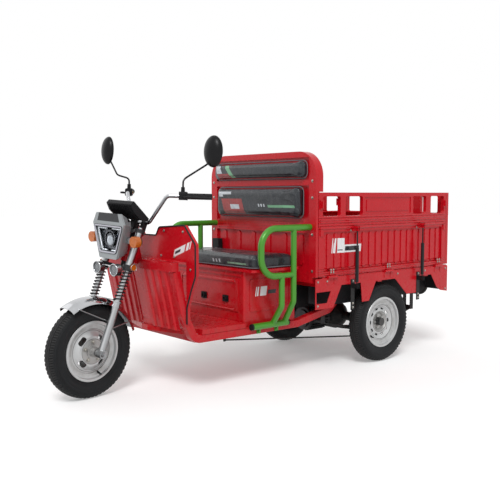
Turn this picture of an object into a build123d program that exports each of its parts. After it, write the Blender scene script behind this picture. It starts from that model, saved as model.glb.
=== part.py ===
# Electric cargo tricycle: open driver's seat, drop-side cargo bed behind it,
# one steered wheel in front and two driven wheels under the bed.
# Row frame in millimetres: +X is the vehicle's left, -Y is ahead, +Z is up,
# Z = 0 is the ground and the origin is the middle of the bounding box's base.
import os
from math import cos, radians, sin, tan, pi

from build123d import *

os.makedirs("parts", exist_ok=True)

# ---------------------------------------------------------------- sizes
# Wheels
TYRE_R = 260.0  # outer radius of all three tyres
TYRE_W = 100.0  # section width
RIM_R = 167.0  # flange radius of the 12 inch rims
RIM_W = 76.0
WHEELBASE = 1897.0

# Front end
RAKE = 21.3  # steering axis, degrees back from vertical
AXLE_LEAD = 46.0  # axle line ahead of the steering axis
LEG_SPREAD = 217.0  # between the fork leg centres
LEG_R = 20.0
AXLE_R = 8.0
PARK_STEER = 7.0  # degrees to the left, as parked
RUN_FIT = 0.05  # radial clearance of a pin that turns in its hole

# Cargo bed
BED_HALF = 504.0  # outer face of the drop sides
BED_FRONT = 636.0  # ahead of the rear axle
BED_REAR = -686.0
WALL_H = 511.5
WALL_T = 26.0
SKIRT_T = 3.0
WHEEL_GAP = 6.0  # tyre to skirt
DECK_T = 33.0
CROSS_H = 32.0
TYRE_TO_BED = 15.0

# Frame
RAIL = 45.0  # square side rails
RAIL_GAP = 37.5  # tyre to side rail
RAIL_LOW = 310.0
FLOOR_RISE = 50.0  # floor above the side rails' centre line
SHEET = 3.0
NOSE_GAP = 37.0  # front tyre to the leg shield's apex

# Seat and backrest
SEAT_FRONT = 1078.0
SEAT_BOX_TOP = 655.0
LID_T = 15.0
CUSHION_H = 66.0
ARCH_FRONT = 660.0
ARCH_TOP = 1358.0
ARCH_W = 60.0
ARCH_D = 60.0
GUARD_R = 19.0
POST_R = 17.5
GUARD_INSET = 49.0  # guard tube centre inside the bed's outer face
SEAT_GAP = 8.0  # cushion to guard tube
PIVOT_R = 8.0

# Gas struts
STRUT_X = 36.0  # strut plane outside the bed's face
STRUT_TOP = 290.0  # upper pin above the deck
STRUT_LOW = 70.0  # lower pin below the deck
STRUT_STATIONS = (330.0, -340.0)
STRUT_R = 11.0
ROD_R = 4.5

# ---------------------------------------------------------------- worked out
TRACK_HALF = BED_HALF - SKIRT_T - WHEEL_GAP - TYRE_W / 2
RAIL_X = TRACK_HALF - TYRE_W / 2 - RAIL_GAP - RAIL / 2
FLOOR_Z = RAIL_LOW + FLOOR_RISE
DECK_Z = 2 * TYRE_R + TYRE_TO_BED + CROSS_H + DECK_T
CROSS_Z = DECK_Z - DECK_T - CROSS_H  # underside of the cross members
RAIL_HIGH = CROSS_Z - RAIL / 2
WALL_Z = DECK_Z + 6
WALL_TOP = WALL_Z - 6 + WALL_H
NOSE = WHEELBASE - TYRE_R - NOSE_GAP  # station of the leg shield's apex
SEAT_BOX_HALF = RAIL_X + 1
GUARD_X = BED_HALF - GUARD_INSET
SEAT_HALF = GUARD_X - GUARD_R - SEAT_GAP
HINGE_X = BED_HALF + PIVOT_R
REAR_AXLE_Y = 726.77  # puts the origin in the middle of the overall length

rake = radians(RAKE)
UP_FORK = (0, sin(rake), cos(rake))
AXIS_Y = REAR_AXLE_Y - WHEELBASE + AXLE_LEAD * cos(rake)
AXIS_Z = TYRE_R - AXLE_LEAD * sin(rake)
STEER_AXIS = Axis(origin=(0, AXIS_Y, AXIS_Z), direction=UP_FORK)


def side(left):
    """Plane at a distance left of centre: local (ahead of rear axle, height), normal to the right."""
    return Plane(origin=(left, REAR_AXLE_Y, 0), x_dir=(0, -1, 0), z_dir=(-1, 0, 0))


def front(ahead):
    """Upright plane at a station: local (left, height), normal ahead."""
    return Plane(origin=(0, REAR_AXLE_Y - ahead, 0), x_dir=(1, 0, 0), z_dir=(0, -1, 0))


def plan(height):
    """Level plane: local (ahead of rear axle, left), normal up."""
    return Plane(origin=(0, REAR_AXLE_Y, height), x_dir=(0, -1, 0), z_dir=(0, 0, 1))


def fork_plane(up, left=0.0):
    """Across the fork, a distance up the legs from the axle: local (left, behind the legs)."""
    return Plane(
        origin=(left, REAR_AXLE_Y - WHEELBASE + up * sin(rake), TYRE_R + up * cos(rake)),
        x_dir=(1, 0, 0),
        z_dir=UP_FORK,
    )


def at(ahead, left, height):
    return (left, REAR_AXLE_Y - ahead, height)


def on_fork(up, left, behind):
    """Point up the legs, to the left and behind the leg line."""
    return (
        left,
        REAR_AXLE_Y - WHEELBASE + up * sin(rake) + behind * cos(rake),
        TYRE_R + up * cos(rake) - behind * sin(rake),
    )


def tube(points, radius, bend, mode=Mode.ADD):
    with BuildLine() as route:
        if len(points) > 2:
            FilletPolyline(*points, radius=bend)
        else:
            Line(*points)
    with BuildSketch(Plane(origin=route.line @ 0, z_dir=route.line % 0)) as section:
        Circle(radius)
    sweep(section.sketch, path=route.line, mode=mode)


def bar(plane, x0, y0, x1, y1, depth, mode=Mode.ADD):
    """A rectangle on a plane, pushed along its normal."""
    with BuildSketch(plane) as section:
        with Locations(((x0 + x1) / 2, (y0 + y1) / 2)):
            Rectangle(abs(x1 - x0), abs(y1 - y0))
    extrude(section.sketch, amount=depth, mode=mode)


def prism(plane, points, depth, both=False, mode=Mode.ADD):
    with BuildSketch(plane) as section:
        with BuildLine():
            Polyline(*points, close=True)
        make_face()
    extrude(section.sketch, amount=depth, both=both, mode=mode)


def disc(plane, spots, radius, depth, both=False, mode=Mode.ADD):
    with BuildSketch(plane) as section:
        with Locations(*spots):
            Circle(radius)
    extrude(section.sketch, amount=depth, both=both, mode=mode)


def parked(piece):
    """Turn a piece of the steered group from straight ahead to the parked angle."""
    piece.part = piece.part.rotate(STEER_AXIS, PARK_STEER)


def keep(piece, name, label=None):
    piece.part.label = label or name
    export_step(piece.part, f"parts/{name}.step")


# ================================================================ chassis
# ---------------------------------------------------------------- frame
SHIELD_LEAN = 50.0 / 230.0  # ahead per unit of height
COWL = NOSE - 100  # station of the cowl's front face
BEAM_Z = TYRE_R + 430  # underside of the front cross beam, just under the lower yoke
BEAM_H = 50.0
RAIL_BEND_DROP = 230.0
RAIL_TOP_ST = NOSE - 40
RAIL_BEND_ST = NOSE - 90
RAIL_FOOT_ST = NOSE - 160
HEAD_LOW, HEAD_HIGH = 520.0, 655.0  # head tube, up the fork from the axle
HEAD_R = 27.0
STEM_R = 16.0


def head_point(up):
    """Station and height of a point on the steering axis."""
    spot = on_fork(up, 0, AXLE_LEAD)
    return (REAR_AXLE_Y - spot[1], spot[2])


head_foot = head_point(HEAD_LOW + 14)
head_crown = head_point(HEAD_HIGH - 14)

with BuildPart() as main_frame:
    for s in (1, -1):
        with BuildLine() as rail_line:
            FilletPolyline(
                at(RAIL_TOP_ST, s * RAIL_X, BEAM_Z),
                at(RAIL_BEND_ST, s * RAIL_X, BEAM_Z - RAIL_BEND_DROP),
                at(RAIL_FOOT_ST, s * RAIL_X, RAIL_LOW),
                at(ARCH_FRONT, s * RAIL_X, RAIL_LOW),
                at(377, s * RAIL_X, RAIL_LOW + 57),
                at(200, s * RAIL_X, RAIL_HIGH),
                at(BED_REAR + 40, s * RAIL_X, RAIL_HIGH),
                radius=60,
            )
        with BuildSketch(
            Plane(origin=rail_line.line @ 0, x_dir=(1, 0, 0), z_dir=rail_line.line % 0)
        ):
            RectangleRounded(RAIL, RAIL, 5)
        sweep(path=rail_line.line)
    # front cross beam and the head tube on its gussets
    bar(side(-RAIL_X - RAIL / 2), RAIL_TOP_ST - 10, BEAM_Z, RAIL_TOP_ST + 35, BEAM_Z + BEAM_H, -2 * RAIL_X - RAIL)
    disc(fork_plane(HEAD_LOW), [(0, AXLE_LEAD)], HEAD_R, HEAD_HIGH - HEAD_LOW)
    with BuildSketch(side(0)):
        with BuildLine():
            Polyline(
                (RAIL_TOP_ST - 5, BEAM_Z + 20),
                (RAIL_TOP_ST + 34, BEAM_Z + 20),
                head_foot,
                head_crown,
                (head_crown[0] - 38, head_crown[1] - 4),
                close=True,
            )
        make_face()
    extrude(amount=18, both=True)
    disc(fork_plane(HEAD_LOW - 20), [(0, AXLE_LEAD)], STEM_R + RUN_FIT, HEAD_HIGH - HEAD_LOW + 60, mode=Mode.SUBTRACT)
    # cross members between the rails
    for station, height in ((RAIL_FOOT_ST - 30, RAIL_LOW), (1090, RAIL_LOW), (700, RAIL_LOW)):
        bar(side(-RAIL_X), station - 20, height - 20, station + 20, height + 20, -2 * RAIL_X)
    for station in (-150, BED_REAR + 61):
        bar(side(-RAIL_X), station - 20, RAIL_HIGH - 20, station + 20, RAIL_HIGH + 20, -2 * RAIL_X)
keep(main_frame, "main_frame")

PEDAL_ST = 1180.0  # pedal shaft ahead of the rear axle
PEDAL_X = -205.0

# ---------------------------------------------------------------- floor
with BuildPart() as floor_pan:
    prism(
        plan(FLOOR_Z - 27.5),
        [
            (SEAT_FRONT + 2, -RAIL_X - 25),
            (RAIL_FOOT_ST - 44, -RAIL_X - 25),
            (RAIL_FOOT_ST - 44, -RAIL_X + 25),
            (RAIL_FOOT_ST + 16, -RAIL_X + 25),
            (NOSE - 62, -30),
            (NOSE - 62, 30),
            (RAIL_FOOT_ST + 16, RAIL_X - 25),
            (RAIL_FOOT_ST - 44, RAIL_X - 25),
            (RAIL_FOOT_ST - 44, RAIL_X + 25),
            (SEAT_FRONT + 2, RAIL_X + 25),
        ],
        27.5,
    )
    top = floor_pan.faces().sort_by(Axis.Z)[-1]
    bottom = floor_pan.faces().sort_by(Axis.Z)[0]
    offset(amount=-SHEET, openings=[bottom])
    # anti-slip dimples pressed up in rows
    with BuildSketch(plan(FLOOR_Z - 1)):
        with Locations((SEAT_FRONT + 195, 0)):
            with GridLocations(46, 52, 7, 11):
                SlotOverall(20, 7)
    extrude(amount=2.5)
    with BuildSketch(plan(FLOOR_Z - SHEET - 1)) as pedal_slot:
        with Locations((PEDAL_ST + 22, PEDAL_X)):
            SlotOverall(84, 20)
    extrude(pedal_slot.sketch, amount=SHEET + 6, mode=Mode.SUBTRACT)
keep(floor_pan, "floor_pan")

# ---------------------------------------------------------------- leg shield
SHIELD_LOW = FLOOR_Z + 1
SLOT_HALF = 45.0
with BuildPart() as leg_shield:
    outer_st = RAIL_BEND_ST - (BEAM_Z - RAIL_BEND_DROP - SHIELD_LOW) * SHIELD_LEAN + RAIL / 2
    apex_st = NOSE - 8 - (BEAM_Z - SHIELD_LOW) * SHIELD_LEAN
    span = RAIL_X - RAIL / 2 - SLOT_HALF
    for s in (1, -1):
        # each half is a fluted sheet: four raised flutes between flat lands
        face_pts = [(apex_st, s * SLOT_HALF)]
        for i in range(4):
            for step, rise in ((0.30, 0), (0.42, 9), (0.78, 9), (0.90, 0)):
                k = (i + step) / 4.3
                face_pts.append((apex_st + k * (outer_st - apex_st) + rise, s * (SLOT_HALF + k * span)))
        face_pts.append((outer_st, s * (SLOT_HALF + span)))
        with BuildSketch(plan(SHIELD_LOW)) as half:
            with BuildLine():
                Polyline(*face_pts, *[(a - SHEET, l) for a, l in reversed(face_pts)], close=True)
            make_face()
        lean = (0, -SHIELD_LEAN, 1)
        extrude(half.sketch, amount=(BEAM_Z - SHIELD_LOW) * (1 + SHIELD_LEAN**2) ** 0.5, dir=lean)
        # folded edge beside the central slot
        with BuildSketch(plan(SHIELD_LOW)) as fold:
            with BuildLine():
                Polyline(
                    (apex_st, s * SLOT_HALF),
                    (apex_st, s * (SLOT_HALF + SHEET)),
                    (apex_st - 22, s * (SLOT_HALF + SHEET)),
                    (apex_st - 22, s * SLOT_HALF),
                    close=True,
                )
            make_face()
        extrude(fold.sketch, amount=(BEAM_Z - SHIELD_LOW) * (1 + SHIELD_LEAN**2) ** 0.5, dir=lean)
    # sill joining the halves under the slot
    prism(
        plan(SHIELD_LOW),
        [
            (apex_st, -SLOT_HALF - 2),
            (apex_st, SLOT_HALF + 2),
            (apex_st - 22, SLOT_HALF + 2),
            (apex_st - 22, -SLOT_HALF - 2),
        ],
        38,
    )
keep(leg_shield, "leg_shield")

# ---------------------------------------------------------------- cowl
COWL_TOP = BEAM_Z + 245
COWL_HALF = RAIL_X + 105
with BuildPart() as cowl:
    for s in (1, -1):
        with BuildSketch(front(COWL)) as wing:
            with BuildLine():
                Polyline(
                    (s * 100, COWL_TOP - 16),
                    (s * (RAIL_X + 8), COWL_TOP),
                    (s * COWL_HALF, COWL_TOP - 99),
                    (s * COWL_HALF, COWL_TOP - 269),
                    (s * (COWL_HALF - 40), COWL_TOP - 349),
                    (s * (COWL_HALF - 78), COWL_TOP - 443),
                    (s * (RAIL_X + RAIL / 2 + 4), COWL_TOP - 535),
                    (s * (RAIL_X + RAIL / 2 + 0.4), COWL_TOP - 535),
                    (s * (RAIL_X + RAIL / 2 + 0.4), BEAM_Z + BEAM_H),
                    (s * 0, BEAM_Z + BEAM_H),
                    (s * 0, COWL_TOP - 63),
                    (s * 70, COWL_TOP - 63),
                    close=True,
                )
            make_face()
        extrude(wing.sketch, amount=-22)
    back = cowl.faces().sort_by(Axis.Y)[-1]
    offset(amount=-SHEET, openings=[back])
keep(cowl, "cowl")

# ---------------------------------------------------------------- seat box
BOX_Z = RAIL_LOW + RAIL / 2 + 0.5
with BuildPart() as seat_box:
    bar(plan(BOX_Z), ARCH_FRONT + 4, -SEAT_BOX_HALF, SEAT_FRONT, SEAT_BOX_HALF, SEAT_BOX_TOP - BOX_Z)
    fillet(seat_box.edges().filter_by(Axis.Z), 12)
    offset(amount=-SHEET, openings=[seat_box.faces().sort_by(Axis.Z)[-1]])
    # inward lip that the lid rests on
    with BuildSketch(Plane.XY.offset(SEAT_BOX_TOP - SHEET)) as lip:
        with Locations((0, REAR_AXLE_Y - (ARCH_FRONT + 4 + SEAT_FRONT) / 2)):
            Rectangle(2 * SEAT_BOX_HALF - 4, SEAT_FRONT - ARCH_FRONT - 8)
            Rectangle(2 * SEAT_BOX_HALF - 60, SEAT_FRONT - ARCH_FRONT - 64, mode=Mode.SUBTRACT)
    extrude(lip.sketch, amount=SHEET)
    # pressed panels: one wide on the front, one on each side
    mid_z = (FLOOR_Z + SEAT_BOX_TOP) / 2
    with BuildSketch(front(SEAT_FRONT)) as press:
        with Locations((0, mid_z + 5)):
            RectangleRounded(2 * SEAT_BOX_HALF - 90, 190, 14)
            RectangleRounded(2 * SEAT_BOX_HALF - 130, 150, 10, mode=Mode.SUBTRACT)
    extrude(press.sketch, amount=5)
    for s in (1, -1):
        with BuildSketch(side(s * SEAT_BOX_HALF)) as flank:
            with Locations(((ARCH_FRONT + SEAT_FRONT) / 2, mid_z + 5)):
                RectangleRounded(SEAT_FRONT - ARCH_FRONT - 90, 190, 14)
                RectangleRounded(SEAT_FRONT - ARCH_FRONT - 120, 160, 10, mode=Mode.SUBTRACT)
        extrude(flank.sketch, amount=-s * 4)
    # lightening groove across the front under the lid
    bar(front(SEAT_FRONT - 1), -SEAT_BOX_HALF + 20, SEAT_BOX_TOP - 30, SEAT_BOX_HALF - 20, SEAT_BOX_TOP - 18, 6)
keep(seat_box, "seat_box")

# charging socket and switch on the seat box front
with BuildPart() as sockets:
    for left, up in ((170, 485), (-40, 485)):
        with BuildSketch(front(SEAT_FRONT)) as flange:
            with Locations((left, up)):
                RectangleRounded(52, 40, 6)
        extrude(flange.sketch, amount=6)
        disc(front(SEAT_FRONT + 6), [(left, up)], 15, 9)
        disc(front(SEAT_FRONT + 9), [(left, up)], 10, 6.5, mode=Mode.SUBTRACT)
    # fuse box on the headboard's right leg
    with BuildSketch(front(ARCH_FRONT + 0.3)) as fuse:
        with Locations((-(BED_HALF - ARCH_W - 26), 750)):
            RectangleRounded(66, 100, 8)
    extrude(fuse.sketch, amount=36)
keep(sockets, "sockets")

# ---------------------------------------------------------------- seat lid
LID_Z = SEAT_BOX_TOP + 0.5
LID_BACK = ARCH_FRONT + 52
with BuildPart() as seat_pan:
    with BuildSketch(plan(LID_Z)) as pan:
        with Locations(((LID_BACK + SEAT_FRONT + 12) / 2, 0)):
            RectangleRounded(SEAT_FRONT + 12 - LID_BACK, 2 * SEAT_HALF, 25)
    extrude(pan.sketch, amount=LID_T)
    with BuildSketch(plan(LID_Z)) as pan_hollow:
        with Locations(((LID_BACK + SEAT_FRONT + 12) / 2, 0)):
            RectangleRounded(SEAT_FRONT + 12 - LID_BACK - 6, 2 * SEAT_HALF - 6, 22)
            Rectangle(SEAT_FRONT + 12 - LID_BACK, 2 * SEAT_BOX_HALF - 80, mode=Mode.SUBTRACT)
    extrude(pan_hollow.sketch, amount=LID_T - SHEET, mode=Mode.SUBTRACT)
keep(seat_pan, "seat_pan")

with BuildPart() as seat_cushion:
    with BuildSketch(plan(LID_Z + LID_T)) as cushion:
        with Locations(((LID_BACK + SEAT_FRONT + 6) / 2, 0)):
            RectangleRounded(SEAT_FRONT - LID_BACK, 2 * SEAT_HALF - 8, 40)
    extrude(cushion.sketch, amount=CUSHION_H + 14)
    fillet(seat_cushion.faces().sort_by(Axis.Z)[-1].edges(), 22)
keep(seat_cushion, "seat_cushion")

# ---------------------------------------------------------------- guard rails
GUARD_TOP = 905.0
GUARD_DROP = 275.0
GUARD_FRONT = 1050.0
POST_ST = 795.0
BASE_Z = RAIL_LOW + 25
BASE_X = RAIL_X + RAIL / 2 + GUARD_R + 0.4


def guard(s):
    low = GUARD_TOP - GUARD_DROP
    tube(
        [
            at(ARCH_FRONT, s * GUARD_X, GUARD_TOP),
            at(GUARD_FRONT, s * GUARD_X, GUARD_TOP),
            at(GUARD_FRONT, s * GUARD_X, low),
            at(POST_ST + 100, s * GUARD_X, low),
        ],
        GUARD_R,
        110,
    )
    tube([at(POST_ST + 98, s * GUARD_X, low), at(POST_ST, s * GUARD_X, low)], POST_R - 2, 0)
    for station, top, knee in ((POST_ST, GUARD_TOP - 4, 135), (POST_ST + 95, low - 4, 115)):
        tube(
            [
                at(station, s * GUARD_X, top),
                at(station, s * GUARD_X, BASE_Z + knee),
                at(station, s * BASE_X, BASE_Z + 3),
            ],
            POST_R,
            45,
        )
    tube([at(POST_ST - 25, s * BASE_X, BASE_Z), at(GUARD_FRONT, s * BASE_X, BASE_Z)], GUARD_R, 0)
    # clamp straps bolted to the side rail
    for station in (POST_ST + 50, POST_ST + 190):
        bar(side(s * (RAIL_X + RAIL / 2)), station - 14, BASE_Z - 46, station + 14, BASE_Z, -s * 5)
        with BuildSketch(side(s * (RAIL_X + RAIL / 2 + 5))) as bolt:
            with Locations((station, BASE_Z - 33)):
                RegularPolygon(8, 6)
        extrude(bolt.sketch, amount=-s * 6)


with BuildPart() as guard_rail_left:
    guard(1)
keep(guard_rail_left, "guard_rail_left")
with BuildPart() as guard_rail_right:
    guard(-1)
keep(guard_rail_right, "guard_rail_right")

# ---------------------------------------------------------------- backrest arch and headboard
ARCH_BACK = ARCH_FRONT - ARCH_D
LEG_OUT = BED_HALF - WALL_T - 6  # arch leg beside the closed drop side
PAD_Z = (ARCH_TOP - 405, ARCH_TOP - 208, ARCH_TOP - 166, ARCH_TOP - 50)
with BuildPart() as headboard:
    with BuildSketch(front(ARCH_BACK)) as arch:
        with Locations((0, (WALL_TOP + 4 + ARCH_TOP) / 2)):
            Rectangle(2 * BED_HALF, ARCH_TOP - WALL_TOP - 4)
        fillet(arch.vertices().group_by(Axis.Y)[-1], 150)
        with Locations((0, (WALL_TOP + 4 + ARCH_TOP - 37) / 2)):
            Rectangle(2 * BED_HALF - 2 * ARCH_W, ARCH_TOP - 37 - WALL_TOP - 4, mode=Mode.SUBTRACT)
    extrude(arch.sketch, amount=ARCH_D)
    for s in (1, -1):
        bar(front(ARCH_BACK), s * (BED_HALF - ARCH_W), DECK_Z - DECK_T, s * LEG_OUT, WALL_TOP + 4, ARCH_D)
        bar(front(BED_FRONT + 5), s * LEG_OUT, DECK_Z + 4, s * BED_HALF, WALL_TOP + 4, ARCH_FRONT - BED_FRONT - 5)
    # sheet between the legs with folded stiffening beams
    inner = BED_HALF - ARCH_W
    bar(front(BED_FRONT + 6), -inner, DECK_Z - DECK_T, inner, ARCH_TOP - 37, SHEET)
    bar(front(BED_FRONT), -inner, PAD_Z[0] - 86, inner, PAD_Z[0] - 23, ARCH_FRONT - BED_FRONT)
    bar(front(BED_FRONT), -inner, PAD_Z[1] + 4, inner, PAD_Z[2] - 4, ARCH_FRONT - BED_FRONT)
    for level in (PAD_Z[0] - 73, PAD_Z[0] - 54, PAD_Z[0] - 35):
        bar(front(ARCH_FRONT - 3), -inner + 20, level - 3, inner - 20, level + 3, 3, mode=Mode.SUBTRACT)
    # pressed panel under the beam
    for i in range(6):
        left = (i - 2.5) * inner / 3
        with BuildSketch(front(BED_FRONT + 6 + SHEET)) as rib:
            with Locations((left, (SEAT_BOX_TOP + PAD_Z[0] - 76) / 2)):
                SlotOverall(PAD_Z[0] - 110 - SEAT_BOX_TOP, 34, rotation=90)
        extrude(rib.sketch, amount=7)
keep(headboard, "headboard")

with BuildPart() as backrest_pad_lower:
    with BuildSketch(front(ARCH_FRONT)) as pad:
        with Locations((0, (PAD_Z[0] + PAD_Z[1]) / 2)):
            RectangleRounded(2 * (inner - 34), PAD_Z[1] - PAD_Z[0], 30)
    extrude(pad.sketch, amount=48)
    fillet(backrest_pad_lower.faces().sort_by(Axis.Y)[0].edges(), 18)
    bar(front(BED_FRONT + 9.5), -inner + 60, PAD_Z[0] + 20, inner - 60, PAD_Z[1] - 20, ARCH_FRONT - BED_FRONT)
keep(backrest_pad_lower, "backrest_pad_lower")
with BuildPart() as backrest_pad_upper:
    with BuildSketch(front(ARCH_FRONT)) as pad2:
        with Locations((0, (PAD_Z[2] + PAD_Z[3]) / 2)):
            RectangleRounded(2 * (inner - 4), PAD_Z[3] - PAD_Z[2], 30)
    extrude(pad2.sketch, amount=40)
    fillet(backrest_pad_upper.faces().sort_by(Axis.Y)[0].edges(), 16)
    bar(front(BED_FRONT + 9.5), -inner + 40, PAD_Z[2] + 15, inner - 40, PAD_Z[3] - 15, ARCH_FRONT - BED_FRONT)
keep(backrest_pad_upper, "backrest_pad_upper")

# ---------------------------------------------------------------- bed floor
DECK_EDGE = BED_HALF - SKIRT_T - 0.5
with BuildPart() as bed_floor:
    bar(plan(DECK_Z - SHEET), BED_REAR + 6, -DECK_EDGE, ARCH_BACK - 1, DECK_EDGE, SHEET)
    for s in (1, -1):
        bar(side(s * DECK_EDGE), BED_REAR + 6, DECK_Z - DECK_T, ARCH_BACK - 1, DECK_Z, s * 4)
        bar(plan(DECK_Z - DECK_T), BED_REAR + 6, s * (DECK_EDGE - 30), ARCH_BACK - 1, s * DECK_EDGE, SHEET)
    for station in (BED_REAR + 30, -440, -190, 60, 310, 560):
        bar(side(-DECK_EDGE), station - 20, CROSS_Z, station + 20, DECK_Z - 1, -2 * DECK_EDGE)
    # hinge knuckles of the drop sides, each with its pin, and their leaves
    # long low ribs pressed up along the deck
    for left in (k * DECK_EDGE / 4.2 for k in range(-3, 4)):
        with BuildSketch(plan(DECK_Z)) as rib2:
            with Locations(((BED_REAR + ARCH_BACK) / 2, left)):
                SlotOverall(ARCH_BACK - BED_REAR - 120, 22)
        extrude(rib2.sketch, amount=4)
keep(bed_floor, "bed_floor")

# ---------------------------------------------------------------- skirts
SKIRT_TOP = DECK_Z - 6
SKIRT_LOW = SKIRT_TOP - 184
SKIRT_EDGE = SKIRT_TOP - 51
ARCH_REACH = TYRE_R + 8


def skirt(s):
    low, edge, topz = SKIRT_LOW, SKIRT_EDGE, SKIRT_TOP
    outline = [
        (ARCH_FRONT, topz),
        (ARCH_FRONT, low),
        (504, low),
        (430, edge),
        (250, edge),
        (235, low + 10),
        (170, low + 10),
        (102, edge),
        (-94, edge),
        (-221, low + 20),
        (-322, low + 20),
        (-335, edge),
        (-493, edge),
        (-560, low + 40),
        (-606, low + 13),
        (BED_REAR, low),
        (BED_REAR, topz),
    ]
    prism(side(s * (BED_HALF - SKIRT_T)), outline, -s * SKIRT_T)
    # window in the front tongue and a rolled lower bead
    prism(
        side(s * (BED_HALF - SKIRT_T)),
        [(652, low + 103), (526, low + 103), (559, low + 33), (651, low + 33)],
        -s * SKIRT_T,
        mode=Mode.SUBTRACT,
    )
    # top flange that lies against the bed's edge
    bar(side(s * (BED_HALF - SKIRT_T)), ARCH_BACK - 2, topz - 20, BED_REAR + 8, topz, s * 0.5)


with BuildPart() as skirt_left:
    skirt(1)
keep(skirt_left, "skirt_left")
with BuildPart() as skirt_right:
    skirt(-1)
keep(skirt_right, "skirt_right")

# black splash guards inboard of the rear wheels
LINER_X = TRACK_HALF - TYRE_W / 2 - 20
with BuildPart() as splash_guards:
    for s in (1, -1):
        prism(
            side(s * LINER_X),
            [(590, CROSS_Z), (590, 430), (450, 400), (-560, 400), (BED_REAR + 60, 450), (BED_REAR + 60, CROSS_Z)],
            -s * 2.5,
        )
        bar(front(520), s * LINER_X, 430, s * (DECK_EDGE - 4), CROSS_Z - 2, 2.5)
        bar(front(-600), s * LINER_X, 430, s * (DECK_EDGE - 4), CROSS_Z - 2, 2.5)
keep(splash_guards, "splash_guards")

# ---------------------------------------------------------------- strut brackets
STRUT_PLANE = BED_HALF + STRUT_X
EYE_T = 8.0
EAR_GAP = 0.7
EAR_T = 3.0
PIN_R = 5.0


def ears(s, station, height, base_z0, base_z1):
    """Two upright ears either side of a strut eye, on a backing plate against the bed."""
    for side_of in (1, -1):
        near = station + side_of * (EYE_T / 2 + EAR_GAP)
        bar(
            front(min(near, near + side_of * EAR_T)),
            s * (BED_HALF + 3),
            height - 14,
            s * (STRUT_PLANE + 14),
            height + 14,
            EAR_T,
        )
    bar(side(s * BED_HALF), station - 17, base_z0, station + 17, base_z1, -s * 3)


with BuildPart() as strut_brackets:
    for s in (1, -1):
        for station in STRUT_STATIONS:
            low = DECK_Z - STRUT_LOW
            ears(s, station, low, low - 150, SKIRT_TOP - 22)
            disc(front(station - EYE_T / 2 - 6), [(s * STRUT_PLANE, low)], PIN_R, EYE_T + 12)
            disc(front(station + EYE_T / 2 + EAR_GAP + EAR_T), [(s * STRUT_PLANE, low)], 8, 4)
            disc(front(station - EYE_T / 2 - EAR_GAP - EAR_T - 4), [(s * STRUT_PLANE, low)], 8, 4)
keep(strut_brackets, "strut_brackets")

# ---------------------------------------------------------------- gas struts
STRUT_LEN = STRUT_TOP + STRUT_LOW
BODY_LEN = 215.0


def strut_body(s):
    low = DECK_Z - STRUT_LOW
    for station in STRUT_STATIONS:
        disc(front(station - EYE_T / 2), [(s * STRUT_PLANE, low)], 11, EYE_T)
        disc(front(station - EYE_T / 2), [(s * STRUT_PLANE, low)], PIN_R + RUN_FIT, EYE_T, mode=Mode.SUBTRACT)
        with BuildSketch(Plane(origin=at(station, s * STRUT_PLANE, low + 10))) as shank:
            Circle(3.4)
        extrude(shank.sketch, amount=20)
        with BuildSketch(Plane(origin=at(station, s * STRUT_PLANE, low + 26))) as barrel:
            Circle(STRUT_R)
        extrude(barrel.sketch, amount=BODY_LEN)
        with BuildSketch(Plane(origin=at(station, s * STRUT_PLANE, low + 120))) as bore:
            Circle(ROD_R + RUN_FIT)
        extrude(bore.sketch, amount=BODY_LEN, mode=Mode.SUBTRACT)


def strut_rod(s):
    low = DECK_Z - STRUT_LOW
    for station in STRUT_STATIONS:
        with BuildSketch(Plane(origin=at(station, s * STRUT_PLANE, low + 26 + BODY_LEN - 18))) as rod:
            Circle(ROD_R)
        extrude(rod.sketch, amount=STRUT_LEN - 26 - BODY_LEN + 18 - 10)
        disc(front(station - EYE_T / 2), [(s * STRUT_PLANE, low + STRUT_LEN)], 11, EYE_T)


with BuildPart() as strut_cylinders_left:
    strut_body(1)
keep(strut_cylinders_left, "strut_cylinders_left")
with BuildPart() as strut_cylinders_right:
    strut_body(-1)
keep(strut_cylinders_right, "strut_cylinders_right")
with BuildPart() as strut_rods_left:
    strut_rod(1)
keep(strut_rods_left, "strut_rods_left")
with BuildPart() as strut_rods_right:
    strut_rod(-1)
keep(strut_rods_right, "strut_rods_right")

# ---------------------------------------------------------------- drop sides and tailgate
WINDOWS = ((601, 445), (400, 239), (-277, -421), (-474, -630))
WINDOW_Z = (WALL_TOP - 143.5, WALL_TOP - 23.5)
BEAM_SPAN = (WALL_TOP - 234.5, WALL_TOP - 146.5)
FIELD = (DECK_Z + 33, WALL_TOP - 236.5)
HINGES = (520.0, -20.0, -570.0)
LATCH_Z = WALL_TOP - 101.5


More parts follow.
